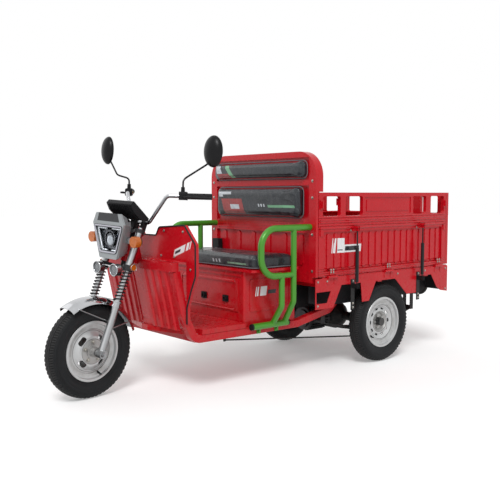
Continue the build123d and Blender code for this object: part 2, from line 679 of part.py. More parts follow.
def wall(face, lo, hi, windows, out):
    """A drop wall on its own plane: local (along, height); out is the sign of the normal that faces outward."""
    bar(face, lo, WALL_Z, hi, WALL_TOP, -out * WALL_T)
    # hollow behind the pressed fields
    inside = face.offset(-out * WALL_T)
    for z0, z1, depth in ((BEAM_SPAN[0] + 8, BEAM_SPAN[1] - 8, 22),):
        bar(inside, lo + 20, z0, hi - 20, z1, out * depth, mode=Mode.SUBTRACT)
    # outer recess, and the same pressing seen from inside
    bar(face, lo + 45, FIELD[0], hi - 45, FIELD[1], -out * 12, mode=Mode.SUBTRACT)
    bar(inside, lo + 30, FIELD[0] - 14, hi - 30, FIELD[1] + 2, out * 11, mode=Mode.SUBTRACT)
    for a, b in windows:
        with BuildSketch(face) as window:
            with Locations(((a + b) / 2, (WINDOW_Z[0] + WINDOW_Z[1]) / 2)):
                RectangleRounded(abs(a - b), WINDOW_Z[1] - WINDOW_Z[0], 12)
        extrude(window.sketch, amount=-out * WALL_T, mode=Mode.SUBTRACT)
    # upright flutes in the recess
    count = int((hi - lo - 120) / 62)
    pitch = (hi - lo - 120) / count
    with BuildSketch(face.offset(-out * 13)) as flutes:
        with Locations(((lo + hi) / 2, (FIELD[0] + FIELD[1]) / 2)):
            with GridLocations(pitch, 1, count, 1):
                SlotOverall(FIELD[1] - FIELD[0] - 24, 26, rotation=90)
    extrude(flutes.sketch, amount=out * 7)
    # two bars on the beam
    for level in (BEAM_SPAN[0] + 22, BEAM_SPAN[0] + 62):
        bar(face, lo + 12, level - 9, hi - 12, level + 9, out * 4)


def side_wall(s):
    face = side(s * BED_HALF)
    wall(face, BED_REAR + WALL_T + 6, BED_FRONT, WINDOWS, -s)
    # pressed plate between the windows
    bar(side(s * BED_HALF), -250, WINDOW_Z[0] + 8, 225, WINDOW_Z[1] - 6, s * 5, mode=Mode.SUBTRACT)
    bar(side(s * (BED_HALF - 5)), -225, WINDOW_Z[0] + 26, 200, WINDOW_Z[1] - 24, -s * 4)
    # hinge leaves and knuckles on the pivot line
    for station in HINGES:
        bar(side(s * BED_HALF), station - 20, DECK_Z + 6, station + 20, DECK_Z + 52, -s * 3)
        disc(front(station - 20), [(s * HINGE_X, DECK_Z)], PIVOT_R, 40)
        bar(front(station - 20), s * BED_HALF, DECK_Z + 3, s * (BED_HALF + 5), DECK_Z + 8, 40)
        disc(front(station - 21), [(s * HINGE_X, DECK_Z)], 4 + RUN_FIT, 42, mode=Mode.SUBTRACT)
    # strut ears and latches
    for station in STRUT_STATIONS:
        for side_of in (1, -1):
            near = station + side_of * (EYE_T / 2 + EAR_GAP)
            bar(
                front(min(near, near + side_of * EAR_T)),
                s * (BED_HALF - 1),
                DECK_Z + STRUT_TOP - 16,
                s * (STRUT_PLANE + 14),
                DECK_Z + STRUT_TOP + 16,
                EAR_T,
            )
            disc(
                front(near if side_of > 0 else near - EAR_T - 5),
                [(s * STRUT_PLANE, DECK_Z + STRUT_TOP)],
                8,
                EAR_T + 5,
            )
    for station in (BED_FRONT - 22, BED_REAR + WALL_T + 28):
        bar(side(s * BED_HALF), station - 14, LATCH_Z, station + 14, LATCH_Z + 56, -s * 7)
        bar(side(s * (BED_HALF + 7)), station - 5, LATCH_Z + 8, station + 5, LATCH_Z + 48, -s * 9)
        bar(side(s * BED_HALF), station - 11, LATCH_Z - 160, station + 11, LATCH_Z - 118, -s * 6)


with BuildPart() as side_wall_left:
    side_wall(1)
keep(side_wall_left, "side_wall_left")
with BuildPart() as side_wall_right:
    side_wall(-1)
keep(side_wall_right, "side_wall_right")

GATE_HALF = BED_HALF
GATE_HINGES = (-0.72 * GATE_HALF, 0.0, 0.72 * GATE_HALF)
GATE_WINDOWS = tuple((GATE_HALF * a, GATE_HALF * b) for a, b in ((-0.85, -0.56), (-0.4, -0.12), (0.12, 0.4), (0.56, 0.85)))
GATE_PIVOT = BED_REAR - PIVOT_R
with BuildPart() as tailgate:
    back_face = front(BED_REAR)
    wall(back_face, -GATE_HALF + 2, GATE_HALF - 2, GATE_WINDOWS, -1)
    for left in GATE_HINGES:
        bar(front(BED_REAR), left - 20, DECK_Z + 6, left + 20, DECK_Z + 52, -3)
        disc(side(left + 20), [(GATE_PIVOT, DECK_Z)], PIVOT_R, 40)
        bar(side(left + 20), BED_REAR - 5, DECK_Z + 3, BED_REAR, DECK_Z + 8, 40)
        disc(side(left + 21), [(GATE_PIVOT, DECK_Z)], 4 + RUN_FIT, 42, mode=Mode.SUBTRACT)
    for left in (-GATE_HALF + 24, GATE_HALF - 24):
        bar(front(BED_REAR), left - 11, LATCH_Z, left + 11, LATCH_Z + 56, -7)
        bar(front(BED_REAR - 7), left - 5, LATCH_Z + 8, left + 5, LATCH_Z + 48, -9)
keep(tailgate, "tailgate")

# hinge knuckles and pins carried by the bed, either side of each wall knuckle
with BuildPart() as bed_hinges:
    for s in (1, -1):
        for station in HINGES:
            for end in (-41, 21):
                disc(front(station + end), [(s * HINGE_X, DECK_Z)], PIVOT_R, 20)
                bar(side(s * BED_HALF), station + end, DECK_Z - 44, station + end + 20, DECK_Z + 2, -s * 3)
            disc(front(station - 22), [(s * HINGE_X, DECK_Z)], 4, 44)
    for left in GATE_HINGES:
        for end in (-41, 21):
            disc(side(left + end + 20), [(GATE_PIVOT, DECK_Z)], PIVOT_R, 20)
            bar(front(BED_REAR), left + end, DECK_Z - 30, left + end + 20, DECK_Z + 2, -3)
        disc(side(left + 22), [(GATE_PIVOT, DECK_Z)], 4, 44)
keep(bed_hinges, "bed_hinges")

# ---------------------------------------------------------------- rear axle
DRUM_R = RIM_R - 69
DRUM_IN = TRACK_HALF - 72  # inboard face of the brake
SPRING_SEAT = TYRE_R - 34.0  # top of the leaf springs
STUB_R = 20.0
with BuildPart() as rear_axle:
    disc(side(DRUM_IN - 6), [(0, TYRE_R)], 30, 2 * DRUM_IN - 12)
    for s in (1, -1):
        disc(side(s * (DRUM_IN - 1)), [(0, TYRE_R)], DRUM_R - 2, s * 5)
        disc(side(s * (DRUM_IN - 3)), [(0, TYRE_R)], STUB_R, -s * 80)
        # spring seat under the tube
        bar(side(s * (RAIL_X - 8) + 25), -28, SPRING_SEAT + 0.75, 28, TYRE_R - 18, 50)
    with BuildSketch(Plane(origin=at(0, 0, TYRE_R), x_dir=(1, 0, 0), z_dir=(0, -1, 0))) as bulb:
        with BuildLine():
            Polyline((-70, 0), (-70, 34), (-38, 84), (-8, 96), (72, 96), (104, 78), (146, 34), (146, 0), close=True)
        make_face()
    revolve(bulb.sketch, axis=Axis(origin=at(0, 0, TYRE_R), direction=(1, 0, 0)))
    disc(front(88), [(32, TYRE_R)], 62, 20)
keep(rear_axle, "rear_axle")

with BuildPart() as motor:
    disc(front(108.3), [(32, TYRE_R)], 78, 190)
    disc(front(298), [(32, TYRE_R)], 60, 14)
    with BuildSketch(front(125)) as fins:
        with Locations((32, TYRE_R)):
            with PolarLocations(80, 24):
                Rectangle(12, 4)
    extrude(fins.sketch, amount=150)
    bar(plan(TYRE_R + 74), 160, -8, 230, 72, 34)
keep(motor, "motor")


SPRING_X = RAIL_X - 8
SPRING_W = 50.0
LEAF_T = 6.0
SPRING_EYES = (440.0, -470.0)
with BuildPart() as leaf_springs:
    for s in (1, -1):
        # four leaves slung under the axle, the longest on top
        for i, reach in enumerate((1.0, 0.8, 0.58, 0.36)):
            top = SPRING_SEAT - i * (LEAF_T + 0.4)
            rise = 68 * reach**2
            with BuildSketch(side(s * SPRING_X)) as blade:
                with BuildLine():
                    upper = ThreePointArc(
                        (SPRING_EYES[0] * reach, top + rise), (0, top), (SPRING_EYES[1] * reach, top + rise)
                    )
                    lower = ThreePointArc(
                        (SPRING_EYES[0] * reach, top - LEAF_T + rise),
                        (0, top - LEAF_T),
                        (SPRING_EYES[1] * reach, top - LEAF_T + rise),
                    )
                    Line(upper @ 0, lower @ 0)
                    Line(upper @ 1, lower @ 1)
                make_face()
            extrude(blade.sketch, amount=SPRING_W / 2, both=True)
        # clip plate under the leaves and U-bolts over the axle
        clip_z = SPRING_SEAT - 4 * (LEAF_T + 0.4)
        bar(plan(clip_z - 9), -46, s * SPRING_X - 36, 46, s * SPRING_X + 36, 9.3)
        for station in (-35, 35):
            for left in (s * SPRING_X - 30.5, s * SPRING_X + 30.5):
                with BuildSketch(plan(clip_z - 18)) as stud:
                    with Locations((station, left)):
                        Circle(4.5)
                extrude(stud.sketch, amount=TYRE_R + 42 - clip_z + 18)
            bar(plan(TYRE_R + 33), station - 4.5, s * SPRING_X - 30.5, station + 4.5, s * SPRING_X + 30.5, 9)
        # eyes, with the hanger in front and the shackle plates behind
        for station, up in ((SPRING_EYES[0], RAIL_LOW + 21), (SPRING_EYES[1], RAIL_HIGH - RAIL / 2)):
            eye_z = SPRING_SEAT + 68 + 4
            disc(side(s * SPRING_X + 28), [(station, eye_z)], 13, 56)
            for left in (s * SPRING_X - 27, s * SPRING_X + 32):
                bar(side(left), station - 17, eye_z - 14, station + 17, up - 1.9, 5)
keep(leaf_springs, "leaf_springs")

# ---------------------------------------------------------------- brake gear
ROD_X = SPRING_X - SPRING_W / 2 - 18
SHAFT_Z = RAIL_LOW - 2
CAM_ST, CAM_Z = 64.0, TYRE_R - 74
with BuildPart() as brake_gear:
    disc(side(RAIL_X - RAIL / 2 - 0.3), [(PEDAL_ST, SHAFT_Z)], 9, 2 * RAIL_X - RAIL - 0.6)
    for s in (1, -1):
        # lever down from the pedal shaft, pull rod, cam lever and cam spindle
        prism(
            side(s * ROD_X + 4),
            [(PEDAL_ST - 9, SHAFT_Z + 6), (PEDAL_ST + 9, SHAFT_Z + 6), (PEDAL_ST + 6, SHAFT_Z - 52), (PEDAL_ST - 6, SHAFT_Z - 52)],
            8,
        )
        tube([at(PEDAL_ST, s * ROD_X, SHAFT_Z - 44), at(CAM_ST, s * ROD_X, CAM_Z - 40)], 4.5, 0)
        prism(
            side(s * ROD_X + 4),
            [(CAM_ST - 9, CAM_Z + 7), (CAM_ST + 9, CAM_Z + 7), (CAM_ST + 6, CAM_Z - 48), (CAM_ST - 6, CAM_Z - 48)],
            8,
        )
        disc(side(s * (ROD_X - 6)), [(CAM_ST, CAM_Z)], 6.5, -s * (DRUM_IN - 6.3 - ROD_X + 6))
    # foot pedal
    tube(
        [
            at(PEDAL_ST, PEDAL_X, SHAFT_Z + 2),
            at(PEDAL_ST + 30, PEDAL_X, FLOOR_Z + 24),
            at(PEDAL_ST + 120, PEDAL_X, FLOOR_Z + 66),
        ],
        6.5,
        26,
    )
    with BuildSketch(
        Plane(origin=at(PEDAL_ST + 122, PEDAL_X, FLOOR_Z + 67), x_dir=(1, 0, 0), z_dir=(0, 0.62, 0.78))
    ) as pad:
        RectangleRounded(74, 52, 8)
    extrude(pad.sketch, amount=12)
keep(brake_gear, "brake_gear")

# ---------------------------------------------------------------- battery and controller
PACK_HALF = RAIL_X - 75
with BuildPart() as battery_pack:
    bar(plan(CROSS_Z - 150), 326, -PACK_HALF, 580, PACK_HALF, 149.7)
    fillet(battery_pack.edges().filter_by(Axis.Z), 10)
    for left in (-0.65 * PACK_HALF, 0, 0.65 * PACK_HALF):
        bar(plan(CROSS_Z - 153), 320, left - 14, 586, left + 14, 152)
keep(battery_pack, "battery_pack")

# ---------------------------------------------------------------- rear end
with BuildPart() as rear_bumper:
    tube(
        [
            at(BED_REAR + 20, -RAIL_X, RAIL_HIGH - 10),
            at(BED_REAR + 20, -RAIL_X, 380),
            at(BED_REAR + 20, RAIL_X, 380),
            at(BED_REAR + 20, RAIL_X, RAIL_HIGH - 10),
        ],
        17,
        60,
    )
    # flanges bolted to the ends of the side rails
    for s in (1, -1):
        bar(front(BED_REAR + 34), s * RAIL_X - 17, RAIL_HIGH - 20, s * RAIL_X + 17, RAIL_HIGH + 20, 5.7)
    # blank plate bracket
    bar(front(BED_REAR + 2), -70, 388, 70, 470, 3)
    bar(front(BED_REAR + 2), -20, 372, 20, 392, 10)
    disc(front(BED_REAR), [(-50, 440), (50, 440)], 3.5, 8, mode=Mode.SUBTRACT)
keep(rear_bumper, "rear_bumper")

LAMP_Z = 497.0
with BuildPart() as tail_lamps:
    for s in (1, -1):
        with BuildSketch(front(BED_REAR + 22)) as lamp:
            with Locations((s * (RAIL_X + 95), LAMP_Z)):
                RectangleRounded(130, 66, 12)
        extrude(lamp.sketch, amount=-26)
        bar(front(BED_REAR + 22), s * (RAIL_X + 18.5), LAMP_Z - 20, s * (RAIL_X + 110), LAMP_Z + 20, 17.5)
keep(tail_lamps, "tail_lamps")

# ================================================================ wheels
def spin(ahead, left):
    """Section plane and axis of a wheel: local (left, radius)."""
    centre = at(ahead, left, TYRE_R)
    return Plane(origin=centre, x_dir=(1, 0, 0), z_dir=(0, -1, 0)), Axis(origin=centre, direction=(1, 0, 0))


def tyre_body(ahead, left):
    plane, axle = spin(ahead, left)
    half = TYRE_W / 2
    lip = RIM_W / 2 - 6  # bead inside the rim flange
    foot = RIM_R - 11.8
    with BuildSketch(plane) as section:
        with BuildLine():
            Line((lip - 11, foot), (lip, foot))
            Line((lip, foot), (lip, RIM_R + 1))
            Spline(
                (lip, RIM_R + 1),
                (half, RIM_R + 0.45 * (TYRE_R - RIM_R)),
                (half - 8, TYRE_R - 18),
                (half - 28, TYRE_R - 3.5),
                (0, TYRE_R),
                (28 - half, TYRE_R - 3.5),
                (8 - half, TYRE_R - 18),
                (-half, RIM_R + 0.45 * (TYRE_R - RIM_R)),
                (-lip, RIM_R + 1),
            )
            Line((-lip, RIM_R + 1), (-lip, foot))
            Line((-lip, foot), (11 - lip, foot))
            Line((11 - lip, foot), (8 - lip, RIM_R + 3))
            Spline(
                (8 - lip, RIM_R + 3),
                (9 - half, RIM_R + 0.45 * (TYRE_R - RIM_R)),
                (24 - half, TYRE_R - 21),
                (0, TYRE_R - 13),
                (half - 24, TYRE_R - 21),
                (half - 9, RIM_R + 0.45 * (TYRE_R - RIM_R)),
                (lip - 8, RIM_R + 3),
            )
            Line((lip - 8, RIM_R + 3), (lip - 11, foot))
        make_face()
    revolve(section.sketch, axis=axle)
    # rain grooves round the tread
    with BuildSketch(plane) as grooves:
        with Locations((-17, TYRE_R), (0, TYRE_R + 1), (17, TYRE_R)):
            Rectangle(4, 12)
    revolve(grooves.sketch, axis=axle, mode=Mode.SUBTRACT)


def rim_barrel(ahead, left):
    plane, axle = spin(ahead, left)
    h = RIM_W / 2
    r = RIM_R
    with BuildSketch(plane) as section:
        with BuildLine():
            Polyline(
                (-h, r - 2), (-h + 3, r), (-h + 5.5, r - 2), (-h + 5.5, r - 12.2), (-20, r - 15), (-15, r - 38),
                (15, r - 38), (20, r - 15), (h - 5.5, r - 12.2), (h - 5.5, r - 2), (h - 3, r), (h, r - 2),
                (h, r - 14), (23, r - 18), (18, r - 42), (-18, r - 42), (-23, r - 18), (-h, r - 14),
                close=True,
            )
        make_face()
    revolve(section.sketch, axis=axle)


HUB_R = 34.0
with BuildPart() as front_tyre:
    tyre_body(WHEELBASE, 0)
parked(front_tyre)
keep(front_tyre, "front_tyre")

HUB_HALF = LEG_SPREAD / 2 - LEG_R - 9
with BuildPart() as front_rim:
    rim_barrel(WHEELBASE, 0)
    plane, axle = spin(WHEELBASE, 0)
    # two dished discs from the barrel to the hub, pressed with oval hollows
    for s in (1, -1):
        with BuildSketch(plane) as dish:
            with BuildLine():
                Polyline(
                    (s * 12, RIM_R - 40), (s * 16, RIM_R - 60), (s * 34, RIM_R - 84), (s * 40, HUB_R),
                    (s * 36, HUB_R), (s * 30, RIM_R - 84), (s * 12, RIM_R - 60), (s * 8, RIM_R - 40),
                    close=True,
                )
            make_face()
        revolve(dish.sketch, axis=axle)
    with BuildSketch(side(0)) as slots:
        with Locations((WHEELBASE, TYRE_R)):
            with PolarLocations(86, 4, start_angle=45):
                SlotOverall(54, 26, rotation=90)
    extrude(slots.sketch, amount=60, both=True, mode=Mode.SUBTRACT)
    disc(side(HUB_HALF), [(WHEELBASE, TYRE_R)], HUB_R - 6, 2 * HUB_HALF)
    disc(side(46), [(WHEELBASE, TYRE_R)], HUB_R + 6, 92)
    disc(side(HUB_HALF + 1), [(WHEELBASE, TYRE_R)], AXLE_R + RUN_FIT, 2 * HUB_HALF + 2, mode=Mode.SUBTRACT)
parked(front_rim)
keep(front_rim, "front_rim")

WHEEL_DISC = 20.0  # outboard of the rim's middle


def rear_rim_body(s):
    left = s * TRACK_HALF
    rim_barrel(0, left)
    plane, axle = spin(0, left)
    with BuildSketch(plane) as dish:
        with BuildLine():
            Polyline(
                (s * 17, RIM_R - 40), (s * 22, RIM_R - 52), (s * 4, RIM_R - 78), (s * 10, 66), (s * -6, 50), (s * -6, STUB_R + 3),
                (s * -10, STUB_R + 3), (s * -10, 52), (s * 6, 70), (s * 0, RIM_R - 78), (s * 13, RIM_R - 48), (s * 13, RIM_R - 40),
                close=True,
            )
        make_face()
    revolve(dish.sketch, axis=axle)
    with BuildSketch(side(left)) as slots:
        with Locations((0, TYRE_R)):
            with PolarLocations(88, 10):
                SlotOverall(26, 14, rotation=90)
    extrude(slots.sketch, amount=60, both=True, mode=Mode.SUBTRACT)
    # five studs with nuts and the hub cap
    with BuildSketch(side(left - s * 6)) as nuts:
        with Locations((0, TYRE_R)):
            with PolarLocations(39, 5):
                RegularPolygon(9, 6)
    extrude(nuts.sketch, amount=-s * 12)
    with BuildSketch(side(left - s * 7)) as cap:
        with Locations((0, TYRE_R)):
            Circle(STUB_R + 6)
            Circle(STUB_R + 1, mode=Mode.SUBTRACT)
    extrude(cap.sketch, amount=-s * 30)
    disc(side(left + s * 23), [(0, TYRE_R)], STUB_R + 6, -s * 6)


def drum_body(s):
    # rotating drum bolted inside the wheel disc, running on the stub
    left = s * DRUM_IN
    disc(side(left + s * 4), [(0, TYRE_R)], DRUM_R, -s * 56)
    disc(side(left + s * 3), [(0, TYRE_R)], DRUM_R - 8, -s * 51, mode=Mode.SUBTRACT)
    disc(side(left + s * 50), [(0, TYRE_R)], 46, -s * (TRACK_HALF - 10.3 - DRUM_IN - 50))
    disc(side(left), [(0, TYRE_R)], STUB_R + RUN_FIT, -s * 90, mode=Mode.SUBTRACT)


with BuildPart() as rear_tyre_left:
    tyre_body(0, TRACK_HALF)
keep(rear_tyre_left, "rear_tyre_left")
with BuildPart() as rear_tyre_right:
    tyre_body(0, -TRACK_HALF)
keep(rear_tyre_right, "rear_tyre_right")
with BuildPart() as rear_rim_left:
    rear_rim_body(1)
keep(rear_rim_left, "rear_rim_left")
with BuildPart() as rear_rim_right:
    rear_rim_body(-1)
keep(rear_rim_right, "rear_rim_right")
with BuildPart() as brake_drum_left:
    drum_body(1)
keep(brake_drum_left, "brake_drum_left")
with BuildPart() as brake_drum_right:
    drum_body(-1)
keep(brake_drum_right, "brake_drum_right")

# ================================================================ steered group
LEG_X = LEG_SPREAD / 2
SLIDER_TOP = 258.0
SPRING_LOW, SPRING_HIGH = 290.0, 462.0
LOWER_YOKE = (470.0, 494.0)
UPPER_YOKE = (680.0, 700.0)
STANCHION_R = 14.0

with BuildPart() as fork:
    for s in (1, -1):
        legs = [(s * LEG_X, 0)]
        disc(fork_plane(-12), legs, LEG_R, SLIDER_TOP + 12)
        disc(fork_plane(SLIDER_TOP), legs, LEG_R + 4, 10)
        disc(fork_plane(SLIDER_TOP + 10), legs, LEG_R + 1, SPRING_LOW - SLIDER_TOP - 10)
        disc(fork_plane(SPRING_LOW - 5), legs, LEG_R + 6, 5)
        disc(fork_plane(SPRING_LOW - 30), legs, STANCHION_R, UPPER_YOKE[1] - SPRING_LOW + 34)
        disc(fork_plane(LOWER_YOKE[1]), legs, LEG_R, UPPER_YOKE[0] - LOWER_YOKE[1])
        disc(fork_plane(UPPER_YOKE[1]), legs, 11, 10)
        # axle boss at the foot
        disc(side(s * (LEG_X - LEG_R - 3)), [(WHEELBASE, TYRE_R)], 23, -s * (2 * LEG_R + 6))
    disc(side(LEG_X + LEG_R + 18), [(WHEELBASE, TYRE_R)], AXLE_R, LEG_SPREAD + 2 * LEG_R + 36)
    for s in (1, -1):
        with BuildSketch(side(s * (LEG_X + LEG_R + 3))) as nut:
            with Locations((WHEELBASE, TYRE_R)):
                RegularPolygon(14, 6)
        extrude(nut.sketch, amount=-s * 10)
parked(fork)
keep(fork, "fork")

with BuildPart() as fork_springs:
    for s in (1, -1):
        wire_r, coil_r, turns = 3.4, 22.0, 9
        height = SPRING_HIGH - SPRING_LOW - 2 * wire_r - 1
        with BuildLine() as coil:
            Helix(
                pitch=height / turns,
                height=height,
                radius=coil_r,
                center=on_fork(SPRING_LOW + wire_r, s * LEG_X, 0),
                direction=UP_FORK,
            )
        with BuildSketch(Plane(origin=coil.line @ 0, z_dir=coil.line % 0)) as wire:
            Circle(wire_r)
        sweep(wire.sketch, path=coil.line, is_frenet=True)
parked(fork_springs)
keep(fork_springs, "fork_springs")

BAR_UP, BAR_BACK = 762.0, 73.0
BAR_R = 11.0
with BuildPart() as fork_yokes:
    for low, high in (LOWER_YOKE, UPPER_YOKE):
        with BuildSketch(fork_plane(low)) as yoke:
            with BuildLine():
                Polyline(
                    (-LEG_X - 8, -27), (-LEG_X + 12, -27), (-34, 14), (34, 14), (LEG_X - 12, -27), (LEG_X + 8, -27),
                    (LEG_X + 28, -8), (LEG_X + 28, 8), (LEG_X + 8, 27), (44, AXLE_LEAD + 32), (-44, AXLE_LEAD + 32),
                    (-LEG_X - 8, 27), (-LEG_X - 28, 8), (-LEG_X - 28, -8),
                    close=True,
                )
            make_face()
            fillet(yoke.vertices(), 7)
        extrude(yoke.sketch, amount=high - low)
    for s in (1, -1):
        disc(fork_plane(LOWER_YOKE[0] - 1), [(s * LEG_X, 0)], STANCHION_R, LOWER_YOKE[1] - LOWER_YOKE[0] + 2, mode=Mode.SUBTRACT)
        disc(fork_plane(UPPER_YOKE[0] - 1), [(s * LEG_X, 0)], STANCHION_R, UPPER_YOKE[1] - UPPER_YOKE[0] + 2, mode=Mode.SUBTRACT)
        # spring shrouds under the lower yoke
        with BuildSketch(fork_plane(SPRING_HIGH)) as shroud:
            with Locations((s * LEG_X, 0)):
                Circle(LEG_R + 8)
                Circle(STANCHION_R, mode=Mode.SUBTRACT)
        extrude(shroud.sketch, amount=LOWER_YOKE[0] - SPRING_HIGH)
    # steering stem through the head tube
    disc(fork_plane(LOWER_YOKE[0]), [(0, AXLE_LEAD)], STEM_R, UPPER_YOKE[1] - LOWER_YOKE[0])
    disc(fork_plane(UPPER_YOKE[1]), [(0, AXLE_LEAD)], 15, 8)
    # handlebar risers with their caps
    for s in (1, -1):
        with BuildSketch(fork_plane(UPPER_YOKE[1])) as riser:
            with Locations((s * 34, BAR_BACK - 2)):
                RectangleRounded(24, 34, 6)
        extrude(riser.sketch, amount=BAR_UP + 16 - UPPER_YOKE[1])
    with BuildSketch(Plane(origin=on_fork(BAR_UP, 50, BAR_BACK), x_dir=(0, cos(rake), -sin(rake)), z_dir=(-1, 0, 0))) as bore:
        Circle(BAR_R)
    extrude(bore.sketch, amount=100, mode=Mode.SUBTRACT)
parked(fork_yokes)
keep(fork_yokes, "fork_yokes")

# ---------------------------------------------------------------- handlebar
BAR_MID = on_fork(BAR_UP, 0, BAR_BACK)
BAR_Y, BAR_Z = BAR_MID[1], BAR_MID[2]
GRIP_LEN = 135.0
RISE = 157.0
BEND = (175.0, BAR_Y + 37, BAR_Z + RISE)
TIP = (350.0, BAR_Y + 207, BAR_Z + RISE + 1)
with BuildPart() as handlebar:
    tube(
        [
            (-TIP[0], TIP[1], TIP[2]),
            (-BEND[0], BEND[1], BEND[2]),
            (-70, BAR_Y, BAR_Z),
            (70, BAR_Y, BAR_Z),
            BEND,
            TIP,
        ],
        BAR_R,
        34,
    )
parked(handlebar)
keep(handlebar, "handlebar")


def bar_plane(s, back_from_tip):
    """Square to the bar's end run, a distance in from its tip, normal towards the tip."""
    run = Vector(s * (TIP[0] - BEND[0]), TIP[1] - BEND[1], TIP[2] - BEND[2]).normalized()
    spot = Vector(s * TIP[0], TIP[1], TIP[2]) - run * back_from_tip
    return Plane(origin=spot, x_dir=Vector(0, 0, 1).cross(run).normalized(), z_dir=run)


with BuildPart() as grips:
    for s in (1, -1):
        with BuildSketch(bar_plane(s, GRIP_LEN)) as grip:
            Circle(17)
        extrude(grip.sketch, amount=GRIP_LEN + 6)
        with BuildSketch(bar_plane(s, GRIP_LEN)) as core:
            Circle(BAR_R)
        extrude(core.sketch, amount=GRIP_LEN, mode=Mode.SUBTRACT)
        with BuildSketch(bar_plane(s, GRIP_LEN)) as flange:
            Circle(23)
            Circle(BAR_R, mode=Mode.SUBTRACT)
        extrude(flange.sketch, amount=5)
parked(grips)
keep(grips, "grips")

CONTROL = 42.0
with BuildPart() as bar_controls:
    for s in (1, -1):
        with BuildSketch(bar_plane(s, GRIP_LEN + CONTROL)) as housing:
            with Locations((0, 2)):
                RectangleRounded(44, 46, 10)
            Circle(BAR_R, mode=Mode.SUBTRACT)
        extrude(housing.sketch, amount=CONTROL - 1)
        # mirror boss on top
        plane = bar_plane(s, GRIP_LEN + CONTROL / 2)
        top = plane.origin + Vector(0, 0, 22)
        with BuildSketch(Plane(origin=top)) as boss:
            Circle(11)
        extrude(boss.sketch, amount=16)
        # brake lever: pivot lug ahead of the bar and a blade along the grip
        ahead_dir = plane.x_dir if plane.x_dir.Y < 0 else plane.x_dir * -1
        run = plane.z_dir
        p0 = plane.origin + ahead_dir * 20 + Vector(0, 0, -2)
        p1 = plane.origin + ahead_dir * 48 + run * 12 + Vector(0, 0, -2)
        p2 = plane.origin + ahead_dir * 58 + run * 90 + Vector(0, 0, -4)
        p3 = plane.origin + ahead_dir * 52 + run * 160 + Vector(0, 0, -6)
        tube([tuple(p0), tuple(p1), tuple(p2), tuple(p3)], 5.5, 14)
parked(bar_controls)
keep(bar_controls, "bar_controls")

# ---------------------------------------------------------------- mirrors
MIRROR = (460.0, BAR_Y + 111, BAR_Z + 404)


def mirror_plane(s, depth=0.0):
    """Mirror face, looking back and a little inward: local (up, across)."""
    n = Vector(-s * 0.12, 0.99, -0.05).normalized()
    return Plane(origin=Vector(s * MIRROR[0], MIRROR[1], MIRROR[2]) + n * depth, x_dir=(0, 0.05, 0.99), z_dir=n)


with BuildPart() as mirrors:
    for s in (1, -1):
        with BuildSketch(mirror_plane(s, 0)) as shell:
            RectangleRounded(171, 122, 46)
        extrude(shell.sketch, amount=-14, taper=8)
        with BuildSketch(mirror_plane(s, -14)) as shell2:
            RectangleRounded(167, 118, 44)
        extrude(shell2.sketch, amount=-22, taper=38)
        with BuildSketch(mirror_plane(s, 0)) as recess:
            RectangleRounded(163, 114, 42)
        extrude(recess.sketch, amount=-5, mode=Mode.SUBTRACT)
        foot = bar_plane(s, GRIP_LEN + CONTROL / 2).origin + Vector(0, 0, 38)
        tube(
            [
                tuple(foot),
                (foot.X, foot.Y, foot.Z + 45),
                (s * 300, foot.Y - 40, BAR_Z + 258),
                (s * 430, MIRROR[1] - 34, BAR_Z + 340),
                (s * (MIRROR[0] - 4), MIRROR[1] - 18, MIRROR[2] - 10),
            ],
            5,
            16,
        )
parked(mirrors)
keep(mirrors, "mirrors")

with BuildPart() as mirror_glass:
    for s in (1, -1):
        with BuildSketch(mirror_plane(s, -5)) as pane:
            RectangleRounded(162, 113, 41)
        extrude(pane.sketch, amount=3)
parked(mirror_glass)
keep(mirror_glass, "mirror_glass")

# ---------------------------------------------------------------- headlight, dash and lamps
LAMP_BACK = 207.0  # nacelle back face, behind the front axle
LAMP_FACE = 118.0
with BuildPart() as nacelle:
    with BuildSketch(front(WHEELBASE - LAMP_BACK)) as rear_face:
        with BuildLine():
            Polyline((-78, TYRE_R + 705), (78, TYRE_R + 705), (88, TYRE_R + 665), (52, TYRE_R + 515), (-52, TYRE_R + 515), (-88, TYRE_R + 665), close=True)
        make_face()
        fillet(rear_face.vertices(), 8)
    with BuildSketch(front(WHEELBASE - LAMP_FACE - 12)) as mid_face:
        with BuildLine():
            Polyline((-108, TYRE_R + 740), (108, TYRE_R + 740), (138, TYRE_R + 684), (76, TYRE_R + 492), (-76, TYRE_R + 492), (-138, TYRE_R + 684), close=True)
        make_face()
        fillet(mid_face.vertices(), 12)
    loft([rear_face.sketch.face(), mid_face.sketch.face()])
    with BuildSketch(front(WHEELBASE - LAMP_FACE - 12)) as nose_face:
        with BuildLine():
            Polyline((-108, TYRE_R + 740), (108, TYRE_R + 740), (138, TYRE_R + 684), (76, TYRE_R + 492), (-76, TYRE_R + 492), (-138, TYRE_R + 684), close=True)
        make_face()
        fillet(nose_face.vertices(), 12)
    extrude(nose_face.sketch, amount=12)
    with BuildSketch(front(WHEELBASE - LAMP_FACE)) as lens_cut:
        with BuildLine():
            Polyline((-122, TYRE_R + 670), (122, TYRE_R + 670), (70, TYRE_R + 528), (-70, TYRE_R + 528), close=True)
        make_face()
        fillet(lens_cut.vertices(), 14)
    extrude(lens_cut.sketch, amount=-32, mode=Mode.SUBTRACT)
    # ears back to the fork legs
    for s in (1, -1):
        bar(front(WHEELBASE - LAMP_BACK - 6), s * 62, TYRE_R + 578, s * (LEG_X - LEG_R * 0.6), TYRE_R + 608, 30)
    for s in (1, -1):
        disc(fork_plane(LOWER_YOKE[1]), [(s * LEG_X, 0)], LEG_R, UPPER_YOKE[0] - LOWER_YOKE[1], mode=Mode.SUBTRACT)
parked(nacelle)
keep(nacelle, "nacelle")

